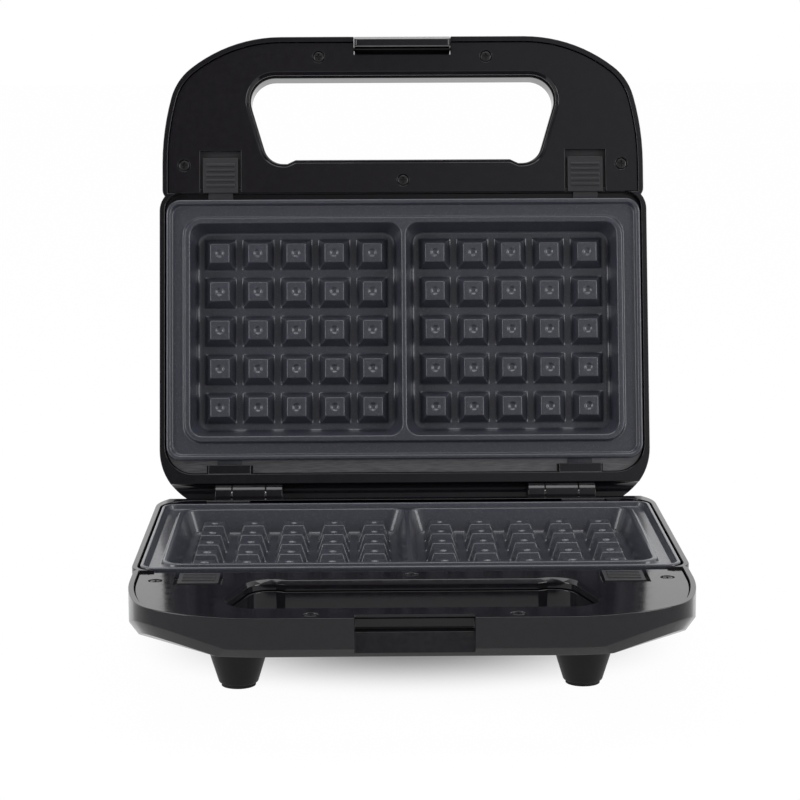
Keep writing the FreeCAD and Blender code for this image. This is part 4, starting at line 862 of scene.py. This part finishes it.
def studs_tree():
    tree, given, out = new_tree("rows_of_studs", {
        "Stud": "Object", "Rows": "Int", "Pitch Across": "Float", "Pitch Along": "Float",
        "Cavity": "Float", "Floor": "Float", "Finish": "Material"})
    gaps = add_node(tree, "ShaderNodeMath", {
        0: given.outputs["Rows"], 1: 1.0}, operation="SUBTRACT")
    across = add_node(tree, "ShaderNodeMath", {
        0: gaps.outputs[0], 1: given.outputs["Pitch Across"]}, operation="MULTIPLY")
    along = add_node(tree, "ShaderNodeMath", {
        0: gaps.outputs[0], 1: given.outputs["Pitch Along"]}, operation="MULTIPLY")
    grid = add_node(tree, "GeometryNodeMeshGrid", {
        "Size X": across.outputs[0], "Size Y": along.outputs[0],
        "Vertices X": given.outputs["Rows"], "Vertices Y": given.outputs["Rows"]})
    stud_shape = add_node(tree, "GeometryNodeObjectInfo", {"Object": given.outputs["Stud"]})
    rows = add_node(tree, "GeometryNodeInstanceOnPoints", {
        "Points": grid.outputs["Mesh"], "Instance": stud_shape.outputs["Geometry"]})
    left = add_node(tree, "ShaderNodeMath", {
        0: given.outputs["Cavity"], 1: -1.0}, operation="MULTIPLY")
    sides = []
    for offset in (left.outputs[0], given.outputs["Cavity"]):
        place = add_node(tree, "ShaderNodeCombineXYZ", {"X": offset, "Z": given.outputs["Floor"]})
        sides.append(add_node(tree, "GeometryNodeTransform", {
            "Geometry": rows.outputs[0], "Translation": place.outputs[0]}).outputs[0])
    whole = add_node(tree, "GeometryNodeJoinGeometry", {
        "Geometry": [given.outputs["Geometry"]] + sides})
    return end_tree(tree, given, out, whole.outputs[0])


STUD_TREE = studs_tree()
for node, piece in plates.items():
    run_tree(piece, STUD_TREE, {
        "Stud": stud, "Rows": STUD_ROWS, "Pitch Across": STUD_PITCH_ACROSS * MM,
        "Pitch Along": STUD_PITCH_ALONG * MM, "Cavity": CAVITY_CENTRE * MM,
        "Floor": CAVITY_FLOOR * MM, "Finish": FINISHES["nonstick"]})
    piece.modifiers.new("even_shading", "WEIGHTED_NORMAL")
    seat = SEATS[PLATE_SEATS[node]] @ Matrix.Translation((0, -PLATE_MIDDLE * MM, 0))
    make_plain(piece).transform(seat)
    stand_for(piece, node)
    print(node, len(piece.data.polygons), "faces")
bpy.data.objects.remove(stud)

# %% [markdown]
# ## A cross-head screw
# The covers are held by pan-head screws that sit in sunk holes. A disc with two bars cut out of it
# would do from afar. Here rings run up the shank and over the head, and the last two follow the
# outline of the cross, so the recess is part of one closed skin.

# %% Model a screw
HEAD_RADIUS, HEAD_HEIGHT, SHANK_RADIUS, SHANK_LENGTH = 2.6, 1.1, 1.4, 9.0
CROSS_HALF_WIDTH, CROSS_REACH, CROSS_DEPTH, CROSS_TAPER = 0.42, 1.45, 0.8, 0.75
ARM_ANGLE = math.atan2(CROSS_HALF_WIDTH, CROSS_REACH)
QUARTER = (-ARM_ANGLE, 0, ARM_ANGLE, math.pi / 8 + ARM_ANGLE / 2, math.pi / 4,
           3 * math.pi / 8 - ARM_ANGLE / 2)
SHARP_ANGLE = math.radians(40)
NEVER_ZERO = 1e-9
HEAD_PROFILE = soften((  # radius, depth from the top, run of the rounding
    (SHANK_RADIUS, HEAD_HEIGHT + SHANK_LENGTH, 0), (SHANK_RADIUS, HEAD_HEIGHT, 0),
    (HEAD_RADIUS, HEAD_HEIGHT, 0), (HEAD_RADIUS, 0.1, 0.55), (1.7, 0, 0)))


def cross_reach(angle):
    """How far the outline of the cross lies from its middle at an angle."""
    across, along = abs(math.cos(angle)), abs(math.sin(angle))
    arms = [min(CROSS_REACH / max(major, NEVER_ZERO), CROSS_HALF_WIDTH / max(minor, NEVER_ZERO))
            for major, minor in ((across, along), (along, across))]
    return max(arms)


def make_screw():
    angles = [math.pi / 2 * turn + angle for turn in range(4) for angle in QUARTER]
    rings = [polar_ring(angles, [radius] * len(angles), depth) for radius, depth in HEAD_PROFILE]
    for share, depth in ((1, 0), (CROSS_TAPER, CROSS_DEPTH)):
        rings.append(polar_ring(angles, [share * cross_reach(angle) for angle in angles], depth))
    shape = bmesh.new()
    loft(shape, rings, caps=(0, -1))
    mesh = finish_shape(shape, "screw")
    mesh.set_sharp_from_angle(angle=SHARP_ANGLE)
    return add_piece("screw", mesh)


screw = make_screw()
print(len(screw.data.polygons), "faces in a screw")

# %% [markdown]
# ## A screw in every hole
# The places could be written down a second time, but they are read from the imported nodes, so a
# screw is always where its solid is: each loose solid of a screw node gives one point, and a
# second tree puts a screw on every point.


# %% Set the screws
def solid_tops(node, half):
    """The middle of the top of each loose solid of a node, in its half's own frame."""
    shape = bmesh.new()
    shape.from_mesh(frame["nodes"][node].data)
    bmesh.ops.remove_doubles(shape, verts=shape.verts, dist=MERGE_DISTANCE)
    shape.transform(SEATS[half].inverted())
    left, tops = set(shape.verts), []
    while left:
        solid, reached = set(), [left.pop()]
        while reached:
            vertex = reached.pop()
            solid.add(vertex)
            for link in vertex.link_edges:
                other = link.other_vert(vertex)
                if other in left:
                    left.remove(other)
                    reached.append(other)
        across, along, depths = [[vertex.co[axis] for vertex in solid] for axis in range(3)]
        tops.append(((min(across) + max(across)) / 2, (min(along) + max(along)) / 2, min(depths)))
    shape.free()
    return tops


def screws_tree():
    tree, given, out = new_tree("screws_on_points", {"Screw": "Object", "Finish": "Material"})
    shape = add_node(tree, "GeometryNodeObjectInfo", {"Object": given.outputs["Screw"]})
    set_screws = add_node(tree, "GeometryNodeInstanceOnPoints", {
        "Points": given.outputs["Geometry"], "Instance": shape.outputs["Geometry"]})
    return end_tree(tree, given, out, set_screws.outputs[0])


SCREW_TREE = screws_tree()
for node, half in {"base_frame_screws": "base", "lid_frame_screws": "lid"}.items():
    points = bpy.data.meshes.new(node + "_points")
    points.from_pydata(solid_tops(node, half), [], [])
    piece = add_piece(node + "_cross_head", points)
    run_tree(piece, SCREW_TREE, {"Screw": screw, "Finish": FINISHES["screw_steel"]})
    make_plain(piece).transform(SEATS[half])
    stand_for(piece, node)
    print(node, len(points.vertices), "screws,", len(piece.data.polygons), "faces")
bpy.data.objects.remove(screw)

# %% [markdown]
# ## Return springs
# Behind each button a coil of spring wire pushes it home. A coil follows a path, so a third tree draws it: a
# spiral with a round wire swept along it, where a screw modifier would need a profile for each spring. Each one
# fills the place of its imported node.

# %% Coil the springs
COIL_TURNS, COIL_STEPS, WIRE_RADIUS, WIRE_SIDES = 8.0, 20, 0.3, 8
SPRINGS = [(level + "_spring_" + side, half, level + "_" + side + "_release")
           for level, half in (("lower", "base"), ("upper", "lid")) for side in ("left", "right")]


def coil_tree():
    tree, given, out = new_tree("coil_of_wire", {
        "Turns": "Float", "Radius": "Float", "Length": "Float", "Wire": "Float",
        "Finish": "Material"})
    path = add_node(tree, "GeometryNodeCurveSpiral", {
        "Resolution": COIL_STEPS, "Rotations": given.outputs["Turns"],
        "Start Radius": given.outputs["Radius"], "End Radius": given.outputs["Radius"],
        "Height": given.outputs["Length"]})
    wire = add_node(tree, "GeometryNodeCurvePrimitiveCircle", {
        "Resolution": WIRE_SIDES, "Radius": given.outputs["Wire"]})
    swept = add_node(tree, "GeometryNodeCurveToMesh", {
        "Curve": path.outputs[0], "Profile Curve": wire.outputs[0], "Fill Caps": True})
    return end_tree(tree, given, out, swept.outputs[0])


COIL_TREE = coil_tree()
for node, half, joint in SPRINGS:
    corners = [SEATS[half].inverted() @ vertex.co for vertex in frame["nodes"][node].data.vertices]
    low = Vector([min(corner[axis] for corner in corners) for axis in range(3)])
    high = Vector([max(corner[axis] for corner in corners) for axis in range(3)])
    middle, wire = (low + high) / 2, WIRE_RADIUS * MM
    length = high.y - low.y
    piece = add_piece(node + "_coil", bpy.data.meshes.new(node + "_coil"))
    run_tree(piece, COIL_TREE, {
        "Turns": COIL_TURNS, "Radius": (high.x - low.x) / 2 - wire, "Length": length - 2 * wire,
        "Wire": wire, "Finish": FINISHES["spring_steel"]})
    start = Matrix.Translation((middle.x, low.y + wire, middle.z))
    make_plain(piece).transform(SEATS[half] @ start @ Matrix.Rotation(-math.pi / 2, 4, "X"))
    stand_for(piece, node)
    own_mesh(piece)
    print(node, round(length / MM, 1), "mm long,", len(piece.data.polygons), "faces")
